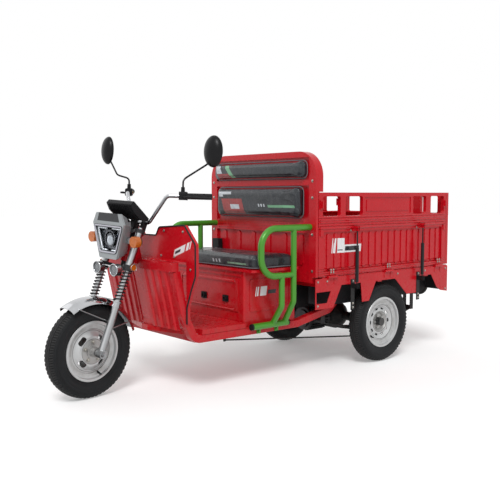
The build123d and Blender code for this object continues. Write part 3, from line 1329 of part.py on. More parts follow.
with BuildPart() as headlamp_unit:
    with BuildSketch(front(WHEELBASE - LAMP_FACE - 32)) as bowl:
        with BuildLine():
            Polyline((-120, TYRE_R + 668), (120, TYRE_R + 668), (69, TYRE_R + 530), (-69, TYRE_R + 530), close=True)
        make_face()
        fillet(bowl.vertices(), 13)
    extrude(bowl.sketch, amount=4)
    with BuildSketch(front(WHEELBASE - LAMP_FACE - 28)) as ring:
        with Locations((0, TYRE_R + 602)):
            Circle(46)
            Circle(38, mode=Mode.SUBTRACT)
    extrude(ring.sketch, amount=16)
    disc(front(WHEELBASE - LAMP_FACE - 28), [(0, TYRE_R + 602)], 30, 14)
parked(headlamp_unit)
keep(headlamp_unit, "headlamp_unit")

with BuildPart() as headlamp_lens:
    with BuildSketch(front(WHEELBASE - LAMP_FACE - 7)) as glass:
        with BuildLine():
            Polyline((-121.5, TYRE_R + 669.5), (121.5, TYRE_R + 669.5), (69.7, TYRE_R + 528.5), (-69.7, TYRE_R + 528.5), close=True)
        make_face()
        fillet(glass.vertices(), 14)
    extrude(glass.sketch, amount=5)
parked(headlamp_lens)
keep(headlamp_lens, "headlamp_lens")

with BuildPart() as instrument_pod:
    with BuildSketch(side(0)) as pod:
        with BuildLine():
            Polyline(
                (WHEELBASE - 312, TYRE_R + 712),
                (WHEELBASE - 205, TYRE_R + 810),
                (WHEELBASE - 186, TYRE_R + 792),
                (WHEELBASE - 205, TYRE_R + 752),
                (WHEELBASE - 262, TYRE_R + 702),
                (WHEELBASE - 306, TYRE_R + 698),
                close=True,
            )
        make_face()
        fillet(pod.vertices(), 4)
    extrude(pod.sketch, amount=110, both=True)
    # stalk down to the upper yoke, ahead of the stem nut
    with BuildSketch(fork_plane(UPPER_YOKE[1] + 0.3)) as stalk:
        with Locations((0, 22)):
            Rectangle(40, 13)
    extrude(stalk.sketch, amount=66)
parked(instrument_pod)
keep(instrument_pod, "instrument_pod")

with BuildPart() as front_signals:
    for s in (1, -1):
        disc(front(WHEELBASE - 176), [(s * 187, TYRE_R + 596)], 30, 34)
parked(front_signals)
keep(front_signals, "front_signals")

with BuildPart() as lamp_brackets:
    for s in (1, -1):
        bar(front(WHEELBASE - 188), s * (LEG_X + LEG_R - 2), TYRE_R + 586, s * 187, TYRE_R + 606, 12)
        disc(front(WHEELBASE - 188), [(s * 187, TYRE_R + 596)], 22, 12)
        disc(fork_plane(LOWER_YOKE[1]), [(s * LEG_X, 0)], LEG_R, UPPER_YOKE[0] - LOWER_YOKE[1], mode=Mode.SUBTRACT)
parked(lamp_brackets)
keep(lamp_brackets, "lamp_brackets")

with BuildPart() as spot_lamps:
    for s in (1, -1):
        disc(front(WHEELBASE - 131), [(s * 76, TYRE_R + 438)], 34, 30)
        disc(front(WHEELBASE - 105), [(s * 76, TYRE_R + 438)], 30, 5, mode=Mode.SUBTRACT)
    # T-shaped bracket under the lower yoke
    with BuildSketch(fork_plane(LOWER_YOKE[0] - 4.5)) as tee:
        with Locations((0, -8)):
            Rectangle(48, 92)
        with Locations((0, -47)):
            Rectangle(130, 14)
    extrude(tee.sketch, amount=4)
parked(spot_lamps)
keep(spot_lamps, "spot_lamps")

with BuildPart() as reflectors:
    for s in (1, -1):
        disc(side(s * (LEG_X + 36.5)), [(WHEELBASE - 184, TYRE_R + 452)], 19, s * 8.2)
parked(reflectors)
keep(reflectors, "reflectors")

# ---------------------------------------------------------------- front mudguard
FENDER_R = TYRE_R + 27
with BuildPart() as front_fender:
    plane, axle = spin(WHEELBASE, 0)
    with BuildSketch(plane) as section:
        with BuildLine():
            crown = Spline((-62, FENDER_R - 26), (-52, FENDER_R - 6), (0, FENDER_R + 6), (52, FENDER_R - 6), (62, FENDER_R - 26))
            under = Spline((-59.5, FENDER_R - 26), (-50, FENDER_R - 8), (0, FENDER_R + 3.5), (50, FENDER_R - 8), (59.5, FENDER_R - 26))
            Line(crown @ 0, under @ 0)
            Line(crown @ 1, under @ 1)
        make_face()
    revolve(section.sketch.rotate(axle, 32), axis=axle, revolution_arc=-104)
parked(front_fender)
keep(front_fender, "front_fender")

with BuildPart() as fender_stays:
    for s in (1, -1):
        for angle, reach in ((148, 120), (66, 175)):
            tube(
                [
                    at(
                        WHEELBASE + (FENDER_R - 18) * cos(radians(angle)),
                        s * 65.6,
                        TYRE_R + (FENDER_R - 18) * sin(radians(angle)),
                    ),
                    on_fork(reach, s * (LEG_X - LEG_R - 4), 0),
                ],
                3.5,
                0,
            )
    # strap over the crown between the spring seats
    with BuildSketch(fork_plane(FENDER_R + 6.3)) as strap:
        Rectangle(2 * (LEG_X - LEG_R - 6.3), 30)
    extrude(strap.sketch, amount=4)
parked(fender_stays)
keep(fender_stays, "fender_stays")
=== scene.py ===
from math import cos, pi, radians, sin

import bmesh
import bpy
from mathutils import Matrix, Vector


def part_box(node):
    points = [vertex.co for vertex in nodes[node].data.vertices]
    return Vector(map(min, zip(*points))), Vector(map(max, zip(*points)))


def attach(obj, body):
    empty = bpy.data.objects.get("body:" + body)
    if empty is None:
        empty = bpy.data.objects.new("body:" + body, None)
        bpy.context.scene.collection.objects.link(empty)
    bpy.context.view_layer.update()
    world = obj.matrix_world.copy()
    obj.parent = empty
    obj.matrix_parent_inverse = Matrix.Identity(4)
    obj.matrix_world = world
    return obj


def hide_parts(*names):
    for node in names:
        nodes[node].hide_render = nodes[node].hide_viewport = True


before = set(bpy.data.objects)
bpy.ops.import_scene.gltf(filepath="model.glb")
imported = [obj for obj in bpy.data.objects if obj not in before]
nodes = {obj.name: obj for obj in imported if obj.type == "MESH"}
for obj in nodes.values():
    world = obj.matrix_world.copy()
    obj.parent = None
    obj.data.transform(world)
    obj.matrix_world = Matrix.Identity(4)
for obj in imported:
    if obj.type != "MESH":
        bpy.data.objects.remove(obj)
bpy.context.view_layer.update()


# ---------------- camera
# A long lens at seated height, ahead and to the left of the vehicle, turned
# a few degrees down.
camera = bpy.data.objects.new("studio_camera", bpy.data.cameras.new("studio_camera"))
camera.data.lens = 52.8
camera.data.sensor_width = 36
camera.location = (3.542, -3.062, 1.105)
view_line = Vector((-0.758 * cos(radians(4.4)), 0.652 * cos(radians(4.4)), -sin(radians(4.4))))
camera.rotation_euler = view_line.to_track_quat("-Z", "Y").to_euler()
bpy.context.scene.collection.objects.link(camera)
bpy.context.scene.camera = camera
bpy.context.scene.view_settings.view_transform = "Standard"


# ---------------- shader sums
# Every finish below is written as sums on shader values: Value carries one
# socket, and Finish makes the nodes of one material.
class Value:
    def __init__(self, finish, socket):
        self.finish, self.socket = finish, socket

    def _sum(self, operation, *terms):
        return self.finish.node("ShaderNodeMath", {"operation": operation}, terms)

    def __add__(self, other):
        return self._sum("ADD", self, other)

    def __radd__(self, other):
        return self._sum("ADD", other, self)

    def __sub__(self, other):
        return self._sum("SUBTRACT", self, other)

    def __rsub__(self, other):
        return self._sum("SUBTRACT", other, self)

    def __mul__(self, other):
        return self._sum("MULTIPLY", self, other)

    def __rmul__(self, other):
        return self._sum("MULTIPLY", other, self)

    def __truediv__(self, other):
        return self._sum("DIVIDE", self, other)

    def __pow__(self, other):
        return self._sum("POWER", self, other)

    def __abs__(self):
        return self._sum("ABSOLUTE", self)

    def wave(self):
        return self._sum("SINE", self)

    def most(self, other):
        return self._sum("MAXIMUM", self, other)

    def clamp(self):
        return self.finish.node("ShaderNodeClamp", {}, (self, 0.0, 1.0))

    def above(self, edge, soft=0.001):
        return ((self - edge) / soft + 0.5).clamp()

    def between(self, low, high, soft=0.001):
        return self.above(low, soft) * (1 - self.above(high, soft))


class Finish:
    def __init__(self, name, **plain):
        self.material = bpy.data.materials.new(name)
        self.material.use_nodes = True
        self.tree = self.material.node_tree
        self.tree.nodes.clear()
        self.end = self.tree.nodes.new("ShaderNodeOutputMaterial")
        self.shader = self.tree.nodes.new("ShaderNodeBsdfPrincipled")
        self.tree.links.new(self.shader.outputs[0], self.end.inputs[0])
        for socket, amount in plain.items():
            self.shader.inputs[socket.replace("_", " ")].default_value = amount
        self.place = self.node("ShaderNodeTexCoord", {}, (), 3)

    def node(self, kind, settings, inputs, output=0):
        made = self.tree.nodes.new(kind)
        for key, setting in settings.items():
            if key == "stops":
                ramp = made.color_ramp.elements
                while len(ramp) < len(setting):
                    ramp.new(0.5)
                for stop, (position, colour) in zip(ramp, setting):
                    stop.position, stop.color = position, (*colour, 1)
            else:
                setattr(made, key, setting)
        for key, entry in inputs.items() if isinstance(inputs, dict) else enumerate(inputs):
            if isinstance(entry, Value):
                self.tree.links.new(entry.socket, made.inputs[key])
            else:
                made.inputs[key].default_value = entry
        return Value(self, made.outputs[output])

    def feed(self, socket, value):
        self.tree.links.new(value.socket, self.shader.inputs[socket])

    def split(self, place=None):
        made = self.tree.nodes.new("ShaderNodeSeparateXYZ")
        self.tree.links.new((place or self.place).socket, made.inputs[0])
        return [Value(self, output) for output in made.outputs]

    def turned(self, centre, turn=(0, 0, 0), scale=(1, 1, 1)):
        """Coordinates measured from a centre, with a turn taken out."""
        return self.node("ShaderNodeMapping", {"vector_type": "TEXTURE"}, (self.place, centre, turn, scale))

    def noise(self, scale, detail=3.0, rough=0.5, place=None):
        sockets = {"Vector": place or self.place, "Scale": scale, "Detail": detail, "Roughness": rough}
        return self.node("ShaderNodeTexNoise", {}, sockets)

    def cells(self, scale, place=None, feature="F1"):
        sockets = {"Vector": place or self.place, "Scale": scale}
        return self.node("ShaderNodeTexVoronoi", {"feature": feature}, sockets)

    def mix(self, mask, low, high):
        low, high = (c if isinstance(c, Value) else (*c, 1) for c in (low, high))
        return self.node("ShaderNodeMix", {"data_type": "RGBA"}, {0: mask, 6: low, 7: high}, 2)

    def bump(self, height, depth, strength=1.0, over=None):
        inputs = {"Strength": strength, "Distance": depth, "Height": height}
        if over:
            inputs["Normal"] = over
        return self.node("ShaderNodeBump", {}, inputs)


def coat(material, *names):
    for name in names:
        slots = nodes[name].data.materials
        slots.clear()
        slots.append(material)


# ---------------- red sheet metal
# Pressed steel sheet, primed and sprayed a glossy red: a faint orange peel,
# slow waves from the press, and road dust low down.
REAR_AXLE = 0.72677  # where the rear axle's centre line lies on Y, in metres


def red_sheet(name, marks=None, pressed=None):
    finish = Finish(name, Specular_IOR_Level=0.25, Coat_Weight=0.12, Coat_Roughness=0.06)
    x, y, z = finish.split()
    slow = finish.noise(5.0, 2.0)
    colour = finish.mix(slow, (0.56, 0.0035, 0.012), (0.45, 0.0024, 0.008))
    grime = finish.noise(26.0, 6.0, 0.65)
    dust = (1 - z.above(0.52, 0.30)) * grime.above(0.52, 0.18) * 0.22
    colour = finish.mix(dust, colour, (0.30, 0.085, 0.06))
    rough = 0.20 + 0.13 * finish.noise(14.0, 4.0) + dust * 0.5
    if marks:
        colour, rough = marks(finish, x, y, z, colour, rough)
    finish.feed("Base Color", colour)
    finish.feed("Roughness", rough)
    waves = finish.bump(finish.noise(7.0, 1.0), 0.004, 0.35)
    if pressed:
        waves = finish.bump(pressed(finish, x, y, z), 0.004, 1.0, waves)
    finish.feed("Normal", finish.bump(finish.noise(420.0, 1.0), 0.00025, 0.25, waves))
    return finish.material


def filmed(finish, colour, white, black):
    """Pieces of white film, with pieces of black film over them."""
    colour = finish.mix(white, colour, (0.78, 0.79, 0.80))
    return finish.mix(black, colour, (0.03, 0.03, 0.035))


def wall_marks(finish, x, y, z, colour, rough):
    """Plain slanted bars of white and black film near the wall's front end."""
    ahead = REAR_AXLE - y
    slant = ahead + (z - 0.80) * 0.12
    field = z.between(0.742, 0.832) * abs(x).above(0.4905)
    thin = slant.between(0.498, 0.505) + slant.between(0.478, 0.492)
    block = slant.between(0.400, 0.462)
    long_bar = slant.between(0.235, 0.400) * z.between(0.742, 0.790)
    white = ((thin + block + long_bar) * field).clamp()
    wide_black = slant.between(0.255, 0.385) * z.between(0.752, 0.780)
    black = (wide_black + slant.between(0.412, 0.452) * z.between(0.756, 0.762)) * field
    return filmed(finish, colour, white, black.clamp()), rough - white * 0.05


def cowl_marks(finish, x, y, z, colour, rough):
    """A short slanted row of film bars on each wing of the cowl."""
    out = abs(x)
    slant = out - (z - 0.83) * 0.35
    climb = z - 0.35 * (out - 0.36)
    field = climb.between(0.800, 0.838) * (1 - y.above(-0.742, 0.004))
    bars = slant.between(0.262, 0.352) + slant.between(0.364, 0.384) + slant.between(0.392, 0.400)
    white = (bars * field).clamp()
    black = slant.between(0.272, 0.316) * climb.between(0.812, 0.826) * field
    return filmed(finish, colour, white, black), rough


def box_marks(finish, x, y, z, colour, rough):
    """Film bars on the flanks of the seat box."""
    ahead = REAR_AXLE - y
    slant = ahead + (z - 0.5) * 0.15
    flank = abs(x).above(0.333)
    row = z.between(0.505, 0.560) * flank
    bars = slant.between(0.985, 0.992) + slant.between(0.968, 0.979) + slant.between(0.905, 0.955)
    white = (bars * row).clamp()
    black = slant.between(0.83, 0.895) * z.between(0.512, 0.536) * flank
    return filmed(finish, colour, white, black), rough


def wall_ribs(finish, x, y, z):
    """Long level swages rolled along the wall, above and below its recess."""
    band = z.between(0.966, 0.975, 0.02) + z.between(0.885, 0.966, 0.004)
    rolls = (z * 2 * pi / 0.0165).wave() * 0.5 + 0.5
    low = (z * 2 * pi / 0.013).wave() * 0.5 + 0.5
    return rolls * band.clamp() + low * z.between(0.610, 0.655, 0.004) * 0.8


def box_ribs(finish, x, y, z):
    """A raised rounded panel in the middle of the box's front."""
    front_face = 1 - y.above(-0.352, 0.002)
    wide, tall = abs(x) - 0.235, abs(z - 0.52) - 0.062
    edge = (wide.most(0.0) ** 2 + tall.most(0.0) ** 2) ** 0.5
    return (1 - edge.above(0.018, 0.007) + edge.between(0.030, 0.036, 0.004) * 0.7) * front_face


red = red_sheet("red_sheet")
coat(red, "main_frame", "leg_shield", "headboard", "seat_pan")
coat(red, "bed_floor", "skirt_left", "skirt_right", "bed_hinges", "tailgate")
coat(red_sheet("red_walls", wall_marks, wall_ribs), "side_wall_left", "side_wall_right")
coat(red_sheet("red_cowl", cowl_marks), "cowl")
coat(red_sheet("red_seat_box", box_marks, box_ribs), "seat_box")


def floor_marks(finish, x, y, z, colour, rough):
    """Shoe scuffs on the footwell floor."""
    strokes = finish.turned((0, 0, 0), (0, 0, 0.6), (0.3, 1, 1))
    scuff = finish.noise(18.0, 8.0, 0.75, strokes).above(0.60, 0.08)
    colour = finish.mix(scuff * 0.30, colour, (0.20, 0.055, 0.045))
    return colour, rough + scuff * 0.22


coat(red_sheet("red_floor", floor_marks), "floor_pan")


# ---------------- satin black steel
# Brackets, axle, springs and struts: black chassis paint, dusty where it
# faces the road.
def black_steel(name, shade=0.010, rough=0.38):
    finish = Finish(name, Specular_IOR_Level=0.2)
    x, y, z = finish.split()
    grime = finish.noise(30.0, 6.0, 0.65)
    low = 1 - z.above(0.42, 0.25)
    paint = (shade, shade, shade * 1.08)
    colour = finish.mix(grime.above(0.55, 0.2) * low * 0.35, paint, (0.10, 0.085, 0.07))
    finish.feed("Base Color", colour)
    finish.feed("Roughness", rough + 0.22 * grime)
    finish.feed("Normal", finish.bump(finish.noise(500.0, 2.0), 0.0002, 0.4))
    return finish.material


chassis_black = black_steel("chassis_black")
coat(chassis_black, "rear_axle", "brake_gear", "lamp_brackets", "rear_bumper", "strut_brackets")
spring_black = black_steel("spring_black", 0.012, 0.28)
coat(spring_black, "fork_springs", "strut_cylinders_left", "strut_cylinders_right")
coat(spring_black, "strut_rods_left", "strut_rods_right")
coat(black_steel("yoke_black", 0.022, 0.36), "fork_yokes")
coat(black_steel("leaf_steel", 0.030, 0.55), "leaf_springs")


# ---------------- green guard rails
# Bent steel tube either side of the seat, sprayed a metallic green with fine
# flake in it.
green = Finish("green_tube", Specular_IOR_Level=0.35, Coat_Weight=0.2, Coat_Roughness=0.08, Metallic=0.2)
flake = green.cells(2600.0)
green.feed("Base Color", green.mix(flake * 0.5, (0.066, 0.285, 0.022), (0.040, 0.21, 0.014)))
green.feed("Roughness", 0.30 + 0.12 * green.noise(20.0, 4.0))
green.feed("Normal", green.bump(green.noise(350.0, 1.0), 0.0002, 0.3))
coat(green.material, "guard_rail_left", "guard_rail_right")


# ---------------- black plastics and rubber
# Moulded switchgear, mirrors, splash guards and sockets with a fine grain,
# and cross-ribbed rubber on the grips.
def moulded(name, shade=0.008, rough=0.5, grain=900.0, depth=0.0003):
    finish = Finish(name, Specular_IOR_Level=0.16)
    slow = finish.noise(12.0, 3.0)
    deep, worn = (shade, shade, shade * 1.12), (shade * 1.5, shade * 1.5, shade * 1.65)
    finish.feed("Base Color", finish.mix(slow, deep, worn))
    finish.feed("Roughness", rough + 0.12 * slow)
    finish.feed("Normal", finish.bump(finish.cells(grain), depth, 0.5))
    return finish.material


black_plastic = moulded("black_plastic")
mirror_shell = moulded("mirror_shell", 0.006, 0.22, 1500.0, 0.0001)
coat(black_plastic, "sockets", "bar_controls", "instrument_pod", "battery_pack")
coat(mirror_shell, "mirrors")
coat(moulded("splash_rubber", 0.014, 0.62, 260.0, 0.0006), "splash_guards")

grip = Finish("grip_rubber", Specular_IOR_Level=0.2)
grip_x, grip_y, grip_z = grip.split()
ribs = ((grip_x * 1100.0).wave() * (grip_y * 1100.0).wave()).above(0.0, 0.6)
grip.feed("Base Color", grip.mix(ribs, (0.010, 0.010, 0.011), (0.022, 0.022, 0.024)))
grip.feed("Roughness", 0.62 + 0.15 * grip.noise(40.0, 3.0))
grip.feed("Normal", grip.bump(ribs, 0.0009, 0.8))
coat(grip.material, "grips")


# ---------------- bright metal
# Chromed bars and mudguard, polished fork legs, zinc fasteners, and duller
# iron for the motor and drums; faces that point down get a painted shade, a
# darker base colour in place of the dark ground that the metal would mirror.
RAKE = radians(21.3)  # lean of the fork from upright


def bright(name, colour, rough, spread, streak=0.0, dull=0.12):
    finish = Finish(name, Metallic=1.0)
    slow = finish.noise(9.0, 4.0, 0.6)
    tint = tuple(c * (1 - dull) for c in colour)
    # Painted shade: faces that point down are darkened to about a fifth of the colour, standing in for the
    # dark reflection of the ground.
    underside_shade_mask = 1 - finish.split(finish.node("ShaderNodeNewGeometry", {}, (), 1))[2].above(-0.05, 0.7)
    painted_underside_shade = tuple(c * 0.22 for c in colour)
    finish.feed("Base Color", finish.mix(underside_shade_mask, finish.mix(slow, colour, tint), painted_underside_shade))
    drawn = finish.turned((0, 0, 0), (-RAKE, 0, 0), (1, 1, 12))
    fine = finish.noise(60.0, 3.0, 0.5, drawn)
    finish.feed("Roughness", rough + spread * fine)
    finish.feed("Normal", finish.bump(fine, 0.0002, streak))
    return finish.material


chrome = bright("chrome", (0.62, 0.63, 0.65), 0.05, 0.10, 0.05, 0.3)
coat(chrome, "handlebar")
coat(bright("lamp_bowl", (0.22, 0.23, 0.25), 0.12, 0.12, 0.1, 0.5), "headlamp_unit")
coat(bright("mudguard_chrome", (0.66, 0.67, 0.69), 0.08, 0.14, 0.05, 0.35), "front_fender")
zinc = bright("zinc", (0.62, 0.60, 0.55), 0.25, 0.25, 0.2)
coat(bright("stay_steel", (0.40, 0.41, 0.42), 0.25, 0.2, 0.2), "fender_stays")
coat(bright("motor_alloy", (0.11, 0.11, 0.115), 0.38, 0.25, 0.4, 0.3), "motor")
coat(bright("drum_iron", (0.20, 0.19, 0.185), 0.48, 0.25, 0.4, 0.3), "brake_drum_left", "brake_drum_right")
coat(bright("spot_lamp_chrome", (0.45, 0.46, 0.47), 0.10, 0.10, 0.05), "spot_lamps")
coat(bright("fork_alloy", (0.50, 0.51, 0.52), 0.20, 0.22, 0.30), "fork")

glass = Finish("mirror_glass", Metallic=1.0)
glass.feed("Base Color", glass.mix(glass.noise(4.0), (0.80, 0.83, 0.86), (0.76, 0.79, 0.83)))
glass.feed("Roughness", 0.015 + 0.03 * glass.noise(30.0))


# ---------------- placing pieces
# Stations are measured ahead of the rear axle, lefts from the centre line and
# heights from the ground, all in millimetres; the steered group is built
# straight ahead and turned with the fork to where it is parked.
def spot(ahead, left, height):
    return Vector((left, REAR_AXLE * 1000 - ahead, height)) / 1000


WHEELBASE = 1897
HUB_HEIGHT = 260
TRAIL = 46  # front hub ahead of the steering axis
STEER_LINE = Vector((0, sin(RAKE), cos(RAKE)))
STEER_FOOT = spot(WHEELBASE - TRAIL * cos(RAKE), 0, HUB_HEIGHT - TRAIL * sin(RAKE))
STEER_TURN = Matrix.Rotation(radians(7), 4, STEER_LINE)
STEER_EULER = STEER_TURN.to_euler()
PARKED = Matrix.Translation(STEER_FOOT) @ STEER_TURN @ Matrix.Translation(-STEER_FOOT)


def finished(name, bm, material, body, smooth=30, straight=True):
    """A piece of its own, turned with the fork if it was built straight ahead."""
    if straight and body == "steering":
        bm.transform(PARKED)
    bmesh.ops.recalc_face_normals(bm, faces=bm.faces)
    mesh = bpy.data.meshes.new(name)
    bm.to_mesh(mesh)
    bm.free()
    mesh.materials.append(material)
    mesh.shade_smooth()
    mesh.set_sharp_from_angle(angle=radians(smooth))
    piece = bpy.data.objects.new(name, mesh)
    bpy.context.scene.collection.objects.link(piece)
    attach(piece, body)
    return piece


def facing(point, direction, spin=0.0):
    """A place at a point with its own Z along a direction."""
    turn = Vector(direction).to_track_quat("Z", "Y").to_matrix().to_4x4()
    return Matrix.Translation(point) @ turn @ Matrix.Rotation(spin, 4, "Z")


def add_disc(bm, place, foot, top, tall, sides):
    """A closed round or many-sided disc, centred on its place."""
    bmesh.ops.create_cone(
        bm, cap_ends=True, segments=sides, radius1=foot, radius2=top, depth=tall, matrix=place
    )


SIDEWAYS, BACKWARDS, UPWARDS = Vector((1, 0, 0)), Vector((0, 1, 0)), Vector((0, 0, 1))


def circle(centre, across, up, radius, count):
    """Even points round a circle that lies in the plane of two directions."""
    angles = (2 * pi * i / count for i in range(count))
    return [centre + across * (cos(t) * radius) + up * (sin(t) * radius) for t in angles]


def add_bolt(bm, point, direction, across=0.012, tall=0.006, sides=6):
    """A bolt head on its washer, with a worn top edge."""
    place = facing(point, direction)
    washer = (0.15, 0.72, 0.72, 0.3, 16)
    head, crown = (0.6, 0.56, 0.56, 0.6, sides), (0.975, 0.56, 0.42, 0.15, sides)
    for middle, foot, top, deep, count in (washer, head, crown):
        disc = place @ Matrix.Translation((0, 0, tall * middle))
        add_disc(bm, disc, across * foot, across * top, tall * deep, count)


def add_rod(bm, points, radius, sides=10, closed=False):
    """A round bar or bead carried along its points by extruding a ring."""
    count = len(points)
    ring = None
    first = None
    for i, point in enumerate(points):
        before = points[i - 1] if i or closed else point
        after = points[(i + 1) % count] if i < count - 1 or closed else point
        run = (after - before).normalized()
        place = Matrix.Translation(point) @ run.to_track_quat("Z", "Y").to_matrix().to_4x4()
        made = bmesh.ops.create_circle(bm, segments=sides, radius=radius, matrix=place)
        loop = made["verts"]
        edges = {e for v in loop for e in v.link_edges}
        if ring:
            bmesh.ops.bridge_loops(bm, edges=list(edges | ring))
        else:
            first = edges
        ring = edges
    if closed:
        bmesh.ops.bridge_loops(bm, edges=list(first | ring))
    else:
        for loop in (first, ring):
            bmesh.ops.contextual_create(bm, geom=list(loop))


def soften(bm, edges, reach, segments=1):
    """A worn or pressed edge in place of a sharp one."""
    bmesh.ops.bevel(bm, geom=edges, offset=reach, segments=segments, affect="EDGES", profile=0.5, material=-1)


def add_slab(bm, corners, direction, thick, round_off=0.0):
    """A flat plate from its outline, given thickness and softened edges."""
    before = set(bm.verts)
    face = bm.faces.new([bm.verts.new(c) for c in corners])
    grown = bmesh.ops.extrude_face_region(bm, geom=[face])
    top = [v for v in grown["geom"] if isinstance(v, bmesh.types.BMVert)]
    bmesh.ops.translate(bm, verts=top, vec=Vector(direction) * thick)
    fresh = [v for v in bm.verts if v not in before]
    edges = list({e for v in fresh for e in v.link_edges})
    bmesh.ops.recalc_face_normals(bm, faces=list({f for v in fresh for f in v.link_faces}))
    if round_off:
        soften(bm, edges, round_off, 2)


# ---------------- tyres
# Black road rubber: three ribs between zigzag grooves, cross sipes towards
# the shoulders, moulded rings on the walls and a row of shoulder lugs.
HALF_TRACK = 445
WHEELS = {
    "front": (PARKED @ spot(WHEELBASE, 0, HUB_HEIGHT), STEER_EULER, "front_wheel"),
    "rear_left": (spot(0, HALF_TRACK, HUB_HEIGHT), (0, 0, 0), "rear_wheel_left"),
    "rear_right": (spot(0, -HALF_TRACK, HUB_HEIGHT), (0, 0, 0), "rear_wheel_right"),
}


def wheel_stand(centre, turn):
    """The place of a wheel's hub, with the front one turned as it is parked."""
    turned = turn.to_matrix().to_4x4() if turn != (0, 0, 0) else Matrix.Identity(4)
    return Matrix.Translation(centre) @ turned


def tyre_rubber(name, centre, turn):
    finish = Finish(name, Specular_IOR_Level=0.22)
    across, back, up = finish.split(finish.turned(tuple(centre), tuple(turn)))
    radius = (back * back + up * up) ** 0.5
    angle = finish.node("ShaderNodeMath", {"operation": "ARCTAN2"}, (up, back))
    tread = radius.above(0.2475, 0.003)
    zigzag = (angle * 58.0).wave() * 0.0022
    outer_groove = 1 - abs(across - zigzag - 0.0085).above(0.0012, 0.0008)
    grooves = outer_groove + (1 - abs(across - zigzag + 0.0085).above(0.0012, 0.0008))
    sipes = ((angle * 116.0 + across * 90.0).wave()).above(0.55, 0.4) * abs(across).above(0.021, 0.002)
    cut = ((grooves + sipes) * tread).clamp()
    scuff_band = (radius * 1900.0).wave().above(0.2, 1.0) * radius.between(0.222, 0.236, 0.002)
    rings = scuff_band + radius.between(0.1845, 0.1865) + radius.between(0.2065, 0.2085)
    dust = finish.noise(22.0, 6.0, 0.7)
    colour = finish.mix(dust.above(0.5, 0.3) * 0.18, (0.0075, 0.0085, 0.0100), (0.030, 0.028, 0.027))
    colour = finish.mix(tread * 0.5, colour, (0.034, 0.033, 0.033))
    # Painted shade: the grooves and sipes are coloured near black, for the shade that falls in the tread's
    # recesses.
    colour = finish.mix(cut, colour, (0.0025, 0.0025, 0.0028))
    finish.feed("Base Color", colour)
    finish.feed("Roughness", 0.50 + 0.22 * dust + cut * 0.15)
    fine = finish.bump(finish.noise(700.0, 2.0), 0.0003, 0.5)
    finish.feed("Normal", finish.bump(rings * 0.35 - cut, 0.005, 1.0, fine))
    return finish.material


def add_lugs(bm, centre, turn):
    """Rubber blocks round both shoulders, a little lower than the tread's crown."""
    stand = wheel_stand(centre, turn)
    for edge in (1, -1):
        for i in range(64):
            lean = Matrix.Rotation(2 * pi * (i + 0.25 * edge) / 64, 4, "X")
            seat = Matrix.Translation((edge * 0.0335, 0, 0.2482))
            tilt = Matrix.Rotation(edge * radians(36), 4, "Y")
            place = stand @ lean @ seat @ tilt @ Matrix.Diagonal((0.021, 0.0135, 0.0072, 1))
            block = bmesh.ops.create_cube(bm, size=1.0, matrix=place)
            soften(bm, list({e for v in block["verts"] for e in v.link_edges}), 0.0012)


for name, (centre, turn, body) in WHEELS.items():
    rubber = tyre_rubber("tyre_" + name, centre, turn)
    coat(rubber, body.replace("wheel", "tyre"))
    bm = bmesh.new()
    add_lugs(bm, centre, turn)
    finished("shoulder_lugs_" + name, bm, rubber, body, 25)


# ---------------- wheel rims
# Pressed steel rims in silver paint, with a darker hub, road dust gathered in
# the well, a rubber valve, and plated bolts round the front hub.
def rim_silver(name, centre, turn, dark_hub):
    finish = Finish(name, Metallic=0.55, Coat_Weight=0.3, Coat_Roughness=0.2)
    across, back, up = finish.split(finish.turned(tuple(centre), tuple(turn)))
    radius = (back * back + up * up) ** 0.5
    grime = finish.noise(24.0, 6.0, 0.7)
    well = radius.between(0.118, 0.142, 0.012)
    dust = grime.above(0.45, 0.3) * (0.15 + well * 0.35)
    colour = finish.mix(dust, (0.52, 0.53, 0.535), (0.24, 0.23, 0.21))
    plate = 1 - radius.above(0.068, 0.002)
    colour = finish.mix(plate * (0.35 + 0.25 * grime), colour, (0.24, 0.225, 0.205))
    seams = radius.between(0.0675, 0.0700) + radius.between(0.112, 0.1145)
    colour = finish.mix(seams, colour, (0.10, 0.10, 0.10))
    hub = 1 - radius.above(dark_hub, 0.001)
    colour = finish.mix(hub, colour, (0.015, 0.015, 0.016))
    finish.feed("Base Color", colour)
    finish.feed("Metallic", 0.55 - hub * 0.4)
    finish.feed("Roughness", 0.30 + 0.20 * grime)
    finish.feed("Normal", finish.bump(finish.noise(380.0, 2.0), 0.0002, 0.35))
    return finish.material


def add_valve(bm, stand, side):
    """A stubby rubber valve and its cap, leaning out of the rim's well."""
    line = ((0.016, 0.129), (0.034, 0.137), (0.048, 0.139))
    foot, neck, tip = [stand @ Vector((side * x, 0.0, z)) for x, z in line]
    add_rod(bm, [foot, neck], 0.0055, 12)
    add_rod(bm, [neck, tip], 0.004, 12)


for name, (centre, turn, body) in WHEELS.items():
    stand = wheel_stand(centre, turn)
    dark_hub = 0.020 if name == "front" else 0.0275
    coat(rim_silver("rim_" + name, centre, turn, dark_hub), body.replace("wheel", "rim"))
    bm = bmesh.new()
    side = -1 if name == "rear_right" else 1
    add_valve(bm, stand @ Matrix.Rotation(radians(200 if name == "front" else 130), 4, "X"), side)
    finished("tyre_valve_" + name, bm, black_plastic, body, 40)
    if name == "front":
        bm = bmesh.new()
        for face in (1, -1):
            for i in range(5):
                hub = stand @ Matrix.Rotation(2 * pi * i / 5, 4, "X")
                out = hub.to_3x3() @ Vector((face, 0, 0))
                add_bolt(bm, hub @ Vector((face * 0.0375, 0, 0.052)), out, 0.015, 0.009)
        finished("hub_bolts_front", bm, zinc, body)


